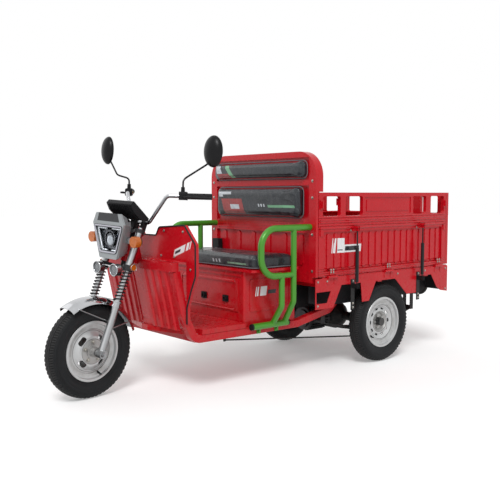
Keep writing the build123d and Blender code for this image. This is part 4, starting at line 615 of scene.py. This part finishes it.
# ---------------- cowl trim
# Black rubber bead pushed over the cut edge of the leg cowl, up one wing,
# down into the middle and round the other.
def rounded(points, reach, steps=4):
    """The same path with each corner eased through a few short steps."""
    eased = [points[0]]
    for a, b, c in zip(points, points[1:], points[2:]):
        start = b + (a - b).normalized() * min(reach, (a - b).length * 0.45)
        stop = b + (c - b).normalized() * min(reach, (c - b).length * 0.45)
        eased += [start.lerp(b, k / steps).lerp(b.lerp(stop, k / steps), k / steps) for k in range(steps + 1)]
    return eased + [points[-1]]


wing = [(361.9, 402), (362, 492), (400, 586), (440, 666), (440, 836)]
crest = [(343, 935), (100, 919), (70, 872), (0, 872)]
bm = bmesh.new()
for s in (1, -1):
    add_rod(bm, rounded([spot(1500.5, s * x, z) for x, z in wing + crest], 0.012), 0.0042, 10)
finished("cowl_trim", bm, moulded("trim_rubber", 0.010, 0.45, 1200.0, 0.0001), "chassis", 60)

# The level shelf that closes the gap between the front cross beam and the cowl.
bm = bmesh.new()
corners = ((1479, -356), (1553, -356), (1553, 356), (1479, 356))
add_slab(bm, [spot(ahead, left, 740.4) for ahead, left in corners], (0, 0, 1), 0.003, 0.001)
finished("cowl_shelf", bm, red, "chassis")

# A plain plate closes the slot between the shield's halves, above its sill.
shield_low, shield_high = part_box("leg_shield")
lean = 50.0 / 230.0
bm = bmesh.new()
foot = 0.396
sheet_back = 0.016
corners = ((-0.0446, foot), (0.0446, foot), (0.0446, 0.689), (-0.0446, 0.689))
outline = [Vector((x, shield_low.y + sheet_back + (shield_high.z - z) * lean, z)) for x, z in corners]
add_slab(bm, outline, (0, -1, lean), 0.003)
finished("slot_plate", bm, red, "chassis")
bm = bmesh.new()
for s in (1, -1):
    for left, up in ((150, 900), (330, 900), (395, 700), (250, 760), (120, 760)):
        add_bolt(bm, spot(1500.2, s * left, up), (0, -1, 0), 0.011, 0.004, 12)
finished("cowl_screws", bm, zinc, "chassis")


# ---------------- guard rail ends
# Black push-in plugs close the open ends of the guard tubes: on each side one
# faces ahead and one back.
bm = bmesh.new()
for s in (1, -1):
    for ahead, left, up, way in ((1050, 376.9, 335, -1), (770, 376.9, 335, 1)):
        mouth = facing(spot(ahead - way * 2.5, s * left, up), (0, way, 0))
        add_disc(bm, mouth, 0.0196, 0.0186, 0.010, 24)
finished("guard_plugs", bm, black_plastic, "chassis", 40)


# ---------------- nacelle and headlamp
# Grey painted lamp shell with a dark top panel; a dark bowl with one round
# projector behind a clear cover, in a grey bezel with a black gasket.
shell = Finish("grey_shell", Specular_IOR_Level=0.3, Coat_Weight=0.2, Coat_Roughness=0.12, Metallic=0.2)
shell_x, shell_y, shell_z = shell.split(shell.turned(tuple(STEER_FOOT), tuple(STEER_EULER)))
deck = (1 - (abs(shell_x) + shell_z * 0.35).above(0.348, 0.002)) * shell_z.above(0.712, 0.002)
greys = shell.mix(shell.noise(8.0), (0.33, 0.35, 0.36), (0.26, 0.28, 0.29))
shell.feed("Base Color", shell.mix(deck, greys, (0.018, 0.019, 0.022)))
shell.feed("Roughness", 0.26 + 0.14 * shell.noise(18.0, 4.0))
shell.feed("Normal", shell.bump(shell.noise(420.0, 1.0), 0.0002, 0.3))
coat(shell.material, "nacelle")

clear = Finish("clear_cover", Transmission_Weight=1.0, IOR=1.05, Alpha=0.35)
clear.feed("Base Color", clear.mix(clear.noise(6.0), (0.93, 0.95, 0.97), (0.97, 0.98, 0.99)))
clear.feed("Roughness", 0.02 + 0.03 * clear.noise(30.0))
coat(clear.material, "headlamp_lens")

LAMP = WHEELBASE - 118  # station of the lamp's mouth


def add_lamp_edge(bm, station, corners, bend, radius, sides):
    """A bead round the lamp's mouth, closed in the middle of its top edge."""
    a, b, c, d = [spot(station, left, up) for left, up in corners]
    add_rod(bm, rounded([a.lerp(b, 0.5), b, c, d, a, a.lerp(b, 0.4999)], bend), radius, sides)


bm = bmesh.new()
add_lamp_edge(bm, LAMP + 1.0, ((-122, 930), (122, 930), (70.5, 786.5), (-70.5, 786.5)), 0.016, 0.0052, 10)
bezel = moulded("bezel_grey", 0.36, 0.3, 900.0, 0.0001)
finished("lamp_frame", bm, bezel, "steering", 60)
bm = bmesh.new()
add_lamp_edge(bm, LAMP + 1.4, ((-128, 934), (128, 934), (74.5, 782.5), (-74.5, 782.5)), 0.018, 0.0024, 8)
finished("lamp_gasket", bm, black_plastic, "steering", 60)

bm = bmesh.new()
for s in (1, -1):
    strip = [spot(LAMP - 12, s * left, up) for left, up in ((24, 917), (104, 917), (62, 798), (20, 798))]
    add_rod(bm, rounded(strip, 0.010), 0.0042, 8)
glow = Finish("lamp_strip", Roughness=0.25)
glow.feed("Base Color", glow.mix(glow.noise(40.0), (0.82, 0.85, 0.88), (0.70, 0.74, 0.79)))
finished("lamp_strips", bm, glow.material, "steering", 60)

bm = bmesh.new()
place = Matrix.Translation(spot(LAMP - 18, 0, 851)) @ Matrix.Diagonal((1, 0.42, 1, 1))
bmesh.ops.create_uvsphere(bm, u_segments=40, v_segments=20, radius=0.029, matrix=place)
orb = Finish("projector_glass", Metallic=0.2, Coat_Weight=1.0, Coat_Roughness=0.02)
orb.feed("Base Color", orb.mix(orb.noise(14.0), (0.16, 0.19, 0.23), (0.60, 0.64, 0.68)))
orb.feed("Roughness", 0.04 + 0.05 * orb.noise(20.0))
finished("projector_lens", bm, orb.material, "steering", 60)

bm = bmesh.new()
for row in range(3):
    for column in range(5):
        cell = Matrix.Translation(spot(LAMP - 25, (column - 2) * 17, 912 - row * 9))
        place = cell @ Matrix.Diagonal((0.014, 0.006, 0.0068, 1))
        bmesh.ops.create_cube(bm, size=1.0, matrix=place)
soften(bm, bm.edges[:], 0.0008)
finished("lamp_cells", bm, black_plastic, "steering", 30)


# ---------------- spot lamps
# Two small round auxiliary lamps: a fluted clear face over a dark bowl, each
# in a chromed ring.
fluted = Finish("fluted_glass", Coat_Weight=1.0, Coat_Roughness=0.03, Metallic=0.3)
fluted_x, fluted_y, fluted_z = fluted.split()
flutes = (fluted_x * 1300.0).wave() * 0.5 + (fluted_z * 1300.0).wave() * 0.5
fluted.feed("Base Color", fluted.mix(flutes.above(0.0, 0.8), (0.06, 0.065, 0.075), (0.26, 0.28, 0.30)))
fluted.feed("Roughness", 0.10 + 0.08 * fluted.noise(20.0))
fluted.feed("Normal", fluted.bump(flutes, 0.0012, 0.8))
bm = bmesh.new()
for s in (1, -1):
    place = facing(spot(WHEELBASE - 105, s * 76, 698), (0, -1, 0))
    add_disc(bm, place, 0.0296, 0.0296, 0.002, 40)
    bulge = place @ Matrix.Diagonal((1, 1, 0.24, 1))
    bmesh.ops.create_uvsphere(bm, u_segments=36, v_segments=16, radius=0.0145, matrix=bulge)
finished("spot_lamp_glass", bm, fluted.material, "steering", 50)
bm = bmesh.new()
for s in (1, -1):
    ring = circle(spot(WHEELBASE - 101.6, s * 76, 698), SIDEWAYS, UPWARDS, 0.0318, 40)
    add_rod(bm, ring, 0.0036, 8, closed=True)
finished("spot_lamp_rings", bm, chrome, "steering", 60)


# ---------------- signals, reflectors and tail lamps
# Tinted lenses with moulded rings; the tail lamps have an amber outer third
# and a clear strip.
def lens(name, colour, deep, tail=False):
    finish = Finish(name, Specular_IOR_Level=0.3, Coat_Weight=0.4, Coat_Roughness=0.04)
    x, y, z = finish.split()
    tint = finish.mix(finish.noise(16.0, 3.0), colour, deep)
    if tail:
        tint = finish.mix(abs(x).above(0.452), tint, (0.80, 0.22, 0.012))
        tint = finish.mix(abs(x).between(0.383, 0.402), tint, (0.72, 0.72, 0.70))
    pattern = (x * 950.0).wave() * (z * 950.0).wave()
    finish.feed("Base Color", tint)
    finish.feed("Roughness", 0.12 + 0.08 * finish.noise(24.0))
    finish.feed("Normal", finish.bump(pattern, 0.0008, 0.7))
    return finish.material


amber = lens("amber_lens", (0.62, 0.155, 0.010), (0.40, 0.085, 0.005))
coat(amber, "front_signals", "reflectors")
coat(lens("tail_lens", (0.50, 0.006, 0.008), (0.33, 0.003, 0.005), True), "tail_lamps")
bm = bmesh.new()
for s in (1, -1):
    centre = spot(WHEELBASE - 144.5, s * 187, 856)
    for radius, inwards in ((0.0285, 0.004), (0.0185, 0.0)):
        ring = circle(centre + BACKWARDS * inwards, SIDEWAYS, UPWARDS, radius, 36)
        add_rod(bm, ring, 0.0016, 8, closed=True)
finished("signal_rings", bm, amber, "steering", 60)
bm = bmesh.new()
for s in (1, -1):
    ring = circle(spot(1713, s * 145.3, 712), BACKWARDS, UPWARDS, 0.0182, 36)
    add_rod(bm, ring, 0.0020, 8, closed=True)
finished("reflector_rims", bm, chrome, "steering", 60)


# ---------------- instrument pod
# A ribbed black housing that leans back towards the rider, with a dark glass
# face that carries a round dial and a bar gauge.
bm = bmesh.new()
for i in range(13):
    left = (i - 6) * 15.0
    rib = [spot(WHEELBASE - back, left, up) for back, up in ((252, 968.5), (203.5, 1011), (187.5, 1044))]
    add_rod(bm, rounded(rib, 0.012), 0.0042, 6)
finished("pod_ribs", bm, black_plastic, "steering", 50)

face_up = Vector((0, -107, 98)).normalized()
face_out = Vector((0, 98, 107)).normalized()
face_mid = spot(WHEELBASE - 258.5, 0, 1021) + face_out * 0.0006
bm = bmesh.new()
corners = ((-1, -1), (1, -1), (1, 1), (-1, 1))
outline = [face_mid + SIDEWAYS * (a * 0.096) + face_up * (b * 0.052) for a, b in corners]
add_slab(bm, outline, face_out, 0.0018, 0.0008)
dial = Finish("dial_glass", Coat_Weight=1.0, Coat_Roughness=0.03, Roughness=0.2)
dial_turn = (STEER_TURN @ Matrix.Rotation(radians(-47.5), 4, "X")).to_euler()
dial_x, dial_y, dial_z = dial.split(dial.turned(tuple(PARKED @ face_mid), tuple(dial_turn)))
dial_r = (dial_x * dial_x + dial_y * dial_y) ** 0.5
dial_a = dial.node("ShaderNodeMath", {"operation": "ARCTAN2"}, (dial_y, dial_x))
ticks = dial_r.between(0.036, 0.041, 0.0004) * (dial_a * 24.0).wave().above(0.75, 0.1)
ticks = ticks + dial_r.between(0.0425, 0.0435, 0.0004)
gauge = dial_y.between(-0.026, 0.026, 0.0004) * abs(dial_x).between(0.062, 0.078, 0.0004)
bars = gauge * (dial_y * 620.0).wave().above(0.0, 0.2)
dial.feed("Base Color", dial.mix((ticks + bars).clamp(), (0.010, 0.012, 0.015), (0.55, 0.72, 0.78)))
finished("pod_face", bm, dial.material, "steering", 40)


# ---------------- mirrors
# Egg-shaped moulded cases on bent black stems, each with an oval glass let
# into its back and a collar where the stem screws into the switchgear.
cases, panes = bmesh.new(), bmesh.new()
pane_points = [v.co for v in nodes["mirror_glass"].data.vertices]
stem_points = [v.co for v in nodes["mirrors"].data.vertices]
for s in (1, -1):
    own = [p for p in pane_points if p.x * s > 0]
    centre = sum(own, Vector()) / len(own)
    back = (PARKED.to_3x3() @ Vector((-s * 0.12, 0.99, -0.05))).normalized()
    up = (UPWARDS - back * back.z).normalized()
    across = up.cross(back)
    stand = Matrix.Translation(centre + back * 0.003) @ Matrix((across, up, back)).transposed().to_4x4()
    egg = stand @ Matrix.Diagonal((0.0608, 0.0850, 0.038, 1))
    case = bmesh.ops.create_uvsphere(cases, u_segments=40, v_segments=24, radius=1.0, matrix=egg)["verts"]
    edges, sides = {e for v in case for e in v.link_edges}, {f for v in case for f in v.link_faces}
    geom = case + list(edges) + list(sides)
    bmesh.ops.bisect_plane(cases, geom=geom, plane_co=centre + back * 0.003, plane_no=back, clear_outer=True)
    bmesh.ops.holes_fill(cases, edges=[e for e in cases.edges if e.is_boundary], sides=0)
    angles = [2 * pi * i / 44 for i in range(44)]
    rim = [stand @ Vector((cos(t) * 0.0588, sin(t) * 0.0825, 0.0)) for t in angles]
    add_rod(cases, rim, 0.0022, 8, closed=True)
    pane = stand @ Matrix.Translation((0, 0, 0.0004)) @ Matrix.Diagonal((0.0580, 0.0815, 1, 1))
    bmesh.ops.create_circle(panes, cap_ends=True, segments=44, radius=1.0, matrix=pane)
    low = min(p.z for p in stem_points if p.x * s > 0)
    ring = [p for p in stem_points if p.x * s > 0 and p.z < low + 0.0005]
    foot = sum(ring, Vector()) / len(ring)
    base = PARKED.inverted() @ foot
    riser = base + UPWARDS * 0.045
    elbows = Vector((s * 0.300, base.y - 0.040, 1.2015)), Vector((s * 0.430, base.y + 0.006, 1.2835))
    path = [foot] + [PARKED @ p for p in (riser, *elbows)] + [centre - back * 0.012 - up * 0.020]
    add_rod(cases, rounded(path, 0.020), 0.0052, 12)
    add_rod(cases, [foot, foot + Vector((0, 0, 0.012))], 0.0105, 12)
egg = finished("mirror_cases", cases, mirror_shell, "steering", 60, False)
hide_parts("mirrors")
oval = finished("mirror_panes", panes, glass.material, "steering", 60, False)
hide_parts("mirror_glass")


# ---------------- switch buttons
# Small red, yellow and green push buttons, three in a row on the inboard
# face of each bar housing.
CLAMP_UP, CLAMP_BACK = 762, 73  # bar clamp above and behind the front hub, along the fork
bar_y = 1000 * REAR_AXLE - WHEELBASE + CLAMP_UP * sin(RAKE) + CLAMP_BACK * cos(RAKE)
bar_z = HUB_HEIGHT + CLAMP_UP * cos(RAKE) - CLAMP_BACK * sin(RAKE)
for s, side_name in ((1, "left"), (-1, "right")):
    run = Vector((s * 175.0, 170.0, 1.0)).normalized()
    end = Vector((s * 350.0, bar_y + 207, bar_z + 158))
    hold = (end - run * 156) / 1000
    back = UPWARDS.cross(run).normalized()
    if back.y < 0:
        back = -back
    for i, colour in enumerate(((0.55, 0.012, 0.01), (0.62, 0.42, 0.02), (0.05, 0.30, 0.06))):
        bm = bmesh.new()
        seat = hold + back * 0.0215 + run * (i - 1) * 0.012 + Vector((0, 0, 0.004 if i % 2 else -0.004))
        add_disc(bm, facing(seat, back), 0.0046, 0.0040, 0.005, 20)
        button = Finish("button_%s_%d" % (side_name, i), Coat_Weight=0.4)
        button.feed("Base Color", button.mix(button.noise(30.0), colour, tuple(c * 0.8 for c in colour)))
        button.feed("Roughness", 0.3 + 0.1 * button.noise(60.0))
        name = "switch_button_%s_%d" % (side_name, i)
        finished(name, bm, button.material, "steering", 40)


# ---------------- vinyl cushions
# Foam pads in dark grey coated cloth: swollen by their stuffing, pressed in
# along welded seams, with a fine grain, slack creases and plain colour bars.
def vinyl(name, bars=None):
    finish = Finish(name, Specular_IOR_Level=0.3, Coat_Weight=0.35, Coat_Roughness=0.05)
    x, y, z = finish.split()
    slow = finish.noise(7.0, 3.0)
    colour = finish.mix(slow, (0.012, 0.015, 0.019), (0.026, 0.031, 0.038))
    if bars:
        colour = bars(finish, x, y, z, colour)
    creases = finish.noise(7.0, 6.0, 0.62, finish.turned((0, 0, 0), (0.2, 0.5, 0.3), (1.0, 0.35, 0.30)))
    finish.feed("Base Color", colour)
    finish.feed("Roughness", 0.30 + 0.20 * creases)
    grain = finish.bump(finish.cells(650.0), 0.0004, 0.35)
    hang = finish.turned((0, 0, 0), (0.3, 0.7, 0.2), (1.2, 0.4, 0.35))
    folds = abs(finish.noise(3.2, 3.0, 0.5, hang) - 0.5)
    finish.feed("Normal", finish.bump(abs(creases - 0.5) + folds * 1.6, 0.020, 0.8, grain))
    return finish.material


RED_BAR, PALE_BAR, GREEN_BAR = (0.30, 0.035, 0.035), (0.52, 0.56, 0.60), (0.16, 0.38, 0.22)


def lower_bars(finish, x, y, z, colour):
    slant = x + (z - 1.05) * 0.35
    red_block = slant.between(-0.33, -0.12) * z.between(0.975, 1.072)
    pale = slant.between(-0.25, -0.16) * z.between(1.005, 1.035)
    pale = pale + slant.between(-0.345, -0.305) * z.between(1.085, 1.118)
    pale = pale + slant.between(-0.305, -0.215) * z.between(1.1, 1.118)
    dashes = slant.between(0.03, 0.042) + slant.between(0.055, 0.067) + slant.between(0.08, 0.092)
    dashes = dashes * z.between(1.022, 1.040)
    colour = finish.mix(red_block, colour, RED_BAR)
    colour = finish.mix((pale + dashes).clamp(), colour, PALE_BAR)
    return finish.mix(slant.between(0.12, 0.36) * z.between(1.018, 1.034), colour, GREEN_BAR)


def upper_bars(finish, x, y, z, colour):
    slant = x + (z - 1.25) * 0.55
    colour = finish.mix(slant.between(-0.40, -0.26) * z.between(1.205, 1.236), colour, RED_BAR)
    colour = finish.mix(slant.between(-0.40, -0.345) * z.between(1.238, 1.288), colour, PALE_BAR)
    steep = x + (1.25 - z) * -0.9
    return finish.mix(steep.between(-0.285, -0.245) * z.between(1.20, 1.30), colour, GREEN_BAR)


def seat_bars(finish, x, y, z, colour):
    front_edge = 1 - y.above(-0.318, 0.004)
    slant = x + (z - 0.70) * 0.4
    green_bar = slant.between(0.16, 0.33) * z.between(0.692, 0.702) * front_edge
    colour = finish.mix(green_bar, colour, (0.20, 0.36, 0.24))
    dashes = slant.between(0.02, 0.032) + slant.between(0.05, 0.062) + slant.between(0.08, 0.092)
    return finish.mix(dashes * z.between(0.694, 0.714) * front_edge, colour, PALE_BAR)


def soft_block(bm, low, high, corner, along):
    """A block with rounded corners seen along one axis."""
    place = Matrix.Translation((low + high) / 2) @ Matrix.Diagonal((*(high - low), 1))
    bmesh.ops.create_cube(bm, size=1.0, matrix=place)
    edges = [e for e in bm.edges if abs((e.verts[0].co - e.verts[1].co).normalized()[along]) > 0.9]
    soften(bm, edges, corner, 6)


def settle(piece):
    """Keep the shape that the modifiers give, and drop them."""
    shaped = piece.evaluated_get(bpy.context.evaluated_depsgraph_get())
    mesh = bpy.data.meshes.new_from_object(shaped)
    piece.modifiers.clear()
    piece.data = mesh


def stuffed(name, low, high, corner, along, voxel, cap, pressure=4.0):
    """A cushion blown up by cloth pressure from a slightly smaller block."""
    bm = bmesh.new()
    soft_block(bm, low, high, corner, along)
    mesh = bpy.data.meshes.new(name)
    bm.to_mesh(mesh)
    bm.free()
    piece = bpy.data.objects.new(name, mesh)
    bpy.context.scene.collection.objects.link(piece)
    even = piece.modifiers.new("even", "REMESH")
    even.mode, even.voxel_size = "VOXEL", voxel
    settle(piece)
    start = [v.co.copy() for v in piece.data.vertices]
    cloth = piece.modifiers.new("fill", "CLOTH")
    cloth.settings.use_pressure = True
    cloth.settings.uniform_pressure_force = pressure
    cloth.settings.effector_weights.gravity = 0
    cloth.point_cache.frame_end = 20
    for step in range(1, 21):
        bpy.context.scene.frame_set(step)
    settle(piece)
    bpy.context.scene.frame_set(1)
    for v, home in zip(piece.data.vertices, start):
        shift = v.co - home
        if shift.length > cap:
            v.co = home + shift * (cap / shift.length)
    return piece


def dressed(piece, material, node, body):
    piece.data.materials.append(material)
    piece.data.shade_smooth()
    smoother = piece.modifiers.new("smooth", "SUBSURF")
    smoother.levels = smoother.render_levels = 1
    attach(piece, body)
    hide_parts(node)


def crease(distance, width):
    """Depth of a welded seam: 1 on its line and nothing a little way off."""
    return 2.72 ** (-((distance / width) ** 2))


def hold(vertex, low, high):
    """Keep a swollen cushion inside its own space."""
    vertex.co = [min(max(place, least), most) for place, least, most in zip(vertex.co, low, high)]


seat_low, seat_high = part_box("seat_cushion")
block = seat_low + Vector((0.010, 0.010, 0.004)), seat_high - Vector((0.010, 0.010, 0.016))
cushion = stuffed("seat_pad", *block, 0.045, 2, 0.007, 0.014)
middle, half = (seat_low + seat_high) / 2, (seat_high - seat_low) / 2
for v in cushion.data.vertices:
    rim = min(half.x - abs(v.co.x - middle.x), half.y - abs(v.co.y - middle.y))
    if v.co.z > middle.z:
        v.co.z -= 0.006 * crease(rim - 0.062, 0.008)
        for line in (-0.14, 0.14):
            v.co.z -= 0.005 * crease(v.co.x - line, 0.008) * (rim > 0.06)
    hold(v, seat_low + Vector((0.001, 0.001, 0.0006)), seat_high - Vector((0.001, 0.001, 0)))
dressed(cushion, vinyl("seat_vinyl", seat_bars), "seat_cushion", "seat_lid")

PADS = {
    "lower_back_pad": ("backrest_pad_lower", lower_bars),
    "upper_back_pad": ("backrest_pad_upper", upper_bars),
}
for name, (node, bars) in PADS.items():
    low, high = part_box(node)
    high = Vector((high.x, REAR_AXLE - 0.6615, high.z))
    block = low + Vector((0.007, 0.012, 0.006)), high - Vector((0.007, 0, 0.006))
    pad = stuffed(name, *block, 0.034, 1, 0.006, 0.011)
    middle, half = (low + high) / 2, (high - low) / 2
    for v in pad.data.vertices:
        rim = min(half.x - abs(v.co.x - middle.x), half.z - abs(v.co.z - middle.z))
        if v.co.y < middle.y:
            v.co.y += 0.004 * crease(rim - 0.026, 0.006)
        hold(v, low + Vector((0.0005, 0, 0.0005)), high - Vector((0.0005, 0, 0.0005)))
    dressed(pad, vinyl(name + "_vinyl", bars), node, "chassis")

# The boards behind the two back pads, let into the headboard.
board_face = REAR_AXLE - 0.6458
bm = bmesh.new()
for half, foot, top in ((0.384, 0.973, 1.130), (0.404, 1.207, 1.293)):
    corners = ((-half, foot), (half, foot), (half, top), (-half, top))
    add_slab(bm, [Vector((x, board_face, z)) for x, z in corners], (0, -1, 0), 0.0155)
finished("pad_boards", bm, black_plastic, "chassis")


# ---------------- cushion piping
# Grey welt sewn round the foot of the seat cushion and the back pads, a cord
# that follows their rounded corners.
def loop_points(low, high, corner, flat, level):
    """Points round a rounded oblong, in the plane across one axis."""
    a, b = [i for i in range(3) if i != flat]
    points = []
    for sx, sy, start in ((1, 1, 0), (-1, 1, 90), (-1, -1, 180), (1, -1, 270)):
        centre_a = (high[a] - corner) if sx > 0 else (low[a] + corner)
        centre_b = (high[b] - corner) if sy > 0 else (low[b] + corner)
        for k in range(6):
            t = radians(start + 18 * k)
            point = Vector((0, 0, 0))
            point[a], point[b], point[flat] = centre_a + corner * cos(t), centre_b + corner * sin(t), level
            points.append(point)
    return points


inset = Vector((0.006, 0.006, 0))
welt_line = loop_points(seat_low + inset, seat_high - inset, 0.045, 2, seat_low.z + 0.010)
bm = bmesh.new()
add_rod(bm, welt_line, 0.0035, 8, closed=True)
welt = moulded("welt_vinyl", 0.11, 0.38, 1400.0, 0.0001)
finished("seat_welt", bm, welt, "seat_lid", 60)
inset = Vector((0.004, 0, 0.004))
bm = bmesh.new()
for node, bars in PADS.values():
    low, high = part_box(node)
    welt_line = loop_points(low + inset, high - inset, 0.034, 1, REAR_AXLE - 0.6665)
    add_rod(bm, welt_line, 0.0032, 8, closed=True)
finished("pad_welts", bm, welt, "chassis", 60)


# ---------------- fasteners of the bed
# Zinc-plated bolts that hold the hinges, struts, latches and corner posts;
# those on the walls and the gate swing with them.
HINGE_BOLTS = ((-11, 628), (11, 628), (-11, 643), (11, 643))
for s, side_name in ((1, "left"), (-1, "right")):
    bm = bmesh.new()
    for station in (520.0, -20.0, -570.0):
        for ahead, up in HINGE_BOLTS:
            add_bolt(bm, spot(station + ahead, s * 507.0, up), (s, 0, 0), 0.009, 0.004)
    for station in (330.0, -340.0):
        for ahead in (-20.9, 20.9):
            add_bolt(bm, spot(station + ahead, s * 504.2, 878), (s, 0, 0), 0.009, 0.004)
    finished("wall_bolts_" + side_name, bm, zinc, "drop_side_" + side_name)

bm = bmesh.new()
for left in (-0.72 * 504, 0.0, 0.72 * 504):
    for shift, up in HINGE_BOLTS:
        add_bolt(bm, spot(-689.0, left + shift, up), (0, 1, 0), 0.009, 0.004)
finished("gate_bolts", bm, zinc, "tail_gate")

bm = bmesh.new()
for s in (1, -1):
    for up in (640, 860, 1080, 1180):
        add_bolt(bm, spot(660.2, s * 474, up), (0, -1, 0), 0.012, 0.005)
    for station in (330.0, -340.0):
        for up in (395.0, 420.0, 560.0):
            add_bolt(bm, spot(station, s * 507.2, up), (s, 0, 0), 0.011, 0.005)
    upper_row = [(ahead, 575) for ahead in (640, 560, 300, -120, -420, -660)]
    for ahead, up in upper_row + [(640, 430), (-660, 430)]:
        add_bolt(bm, spot(ahead, s * 504.1, up), (s, 0, 0), 0.010, 0.004)
for left in (-50, 50):
    add_bolt(bm, spot(-688.2, left, 462), (0, 1, 0), 0.010, 0.005)
finished("chassis_bolts", bm, zinc, "chassis")


# ---------------- studio
# A pale sweep of floor, an even sky and two broad soft lamps, so that the
# vehicle stands on white with a faint shadow.
bm = bmesh.new()
bmesh.ops.create_grid(bm, x_segments=1, y_segments=1, size=30.0)
mesh = bpy.data.meshes.new("studio_floor")
bm.to_mesh(mesh)
bm.free()
floor = bpy.data.objects.new("studio_floor", mesh)
bpy.context.scene.collection.objects.link(floor)
pale = Finish("pale_floor", Roughness=0.9)
pale.shader.inputs["Base Color"].default_value = (0.80, 0.80, 0.80, 1)
lift = pale.node("ShaderNodeEmission", {}, ((1, 1, 1, 1), 0.26))
rays = pale.tree.nodes.new("ShaderNodeLightPath")
RAYS = ("Is Camera Ray", "Is Glossy Ray", "Is Transmission Ray")
by_eye, by_gloss, by_glass = [Value(pale, rays.outputs[ray]) for ray in RAYS]
seen = by_eye.most(by_gloss).most(by_glass)
dark = pale.node("ShaderNodeEmission", {}, ((0, 0, 0, 1), 0.0))
veil = pale.node("ShaderNodeMixShader", {}, (seen, dark, lift))
both = pale.node("ShaderNodeAddShader", {}, (Value(pale, pale.shader.outputs[0]), veil))
pale.tree.links.new(both.socket, pale.end.inputs[0])
mesh.materials.append(pale.material)

world = bpy.data.worlds.new("studio_sky")
bpy.context.scene.world = world
world.use_nodes = True
tree = world.node_tree
tree.nodes.clear()
kinds = ("OutputWorld", "LightPath", "MixShader", "Background", "Background", "Math", "Math")
out, rays, mix, plain, white, either, shown = [tree.nodes.new("ShaderNode" + kind) for kind in kinds]
for backdrop, strength in ((plain, 0.50), (white, 1.0)):
    backdrop.inputs[0].default_value = (1, 1, 1, 1)
    backdrop.inputs[1].default_value = strength
either.operation = shown.operation = "MAXIMUM"
by_eye, by_gloss, by_glass = [rays.outputs[ray] for ray in RAYS]
for target, sources in (
    (either, (by_eye, by_glass)),
    (shown, (either.outputs[0], by_gloss)),
    (mix, (shown.outputs[0], plain.outputs[0], white.outputs[0])),
    (out, (mix.outputs[0],)),
):
    for i, source in enumerate(sources):
        tree.links.new(source, target.inputs[i])

LAMPS = (("key_lamp", 2.0, 22, (-0.55, 0.55, -0.9)), ("fill_lamp", 0.4, 60, (0.9, 0.4, -0.5)))
for name, strength, spread, way in LAMPS:
    lamp = bpy.data.objects.new(name, bpy.data.lights.new(name, "SUN"))
    lamp.data.energy = strength
    lamp.data.angle = radians(spread)
    lamp.rotation_euler = Vector(way).to_track_quat("-Z", "Y").to_euler()
    bpy.context.scene.collection.objects.link(lamp)
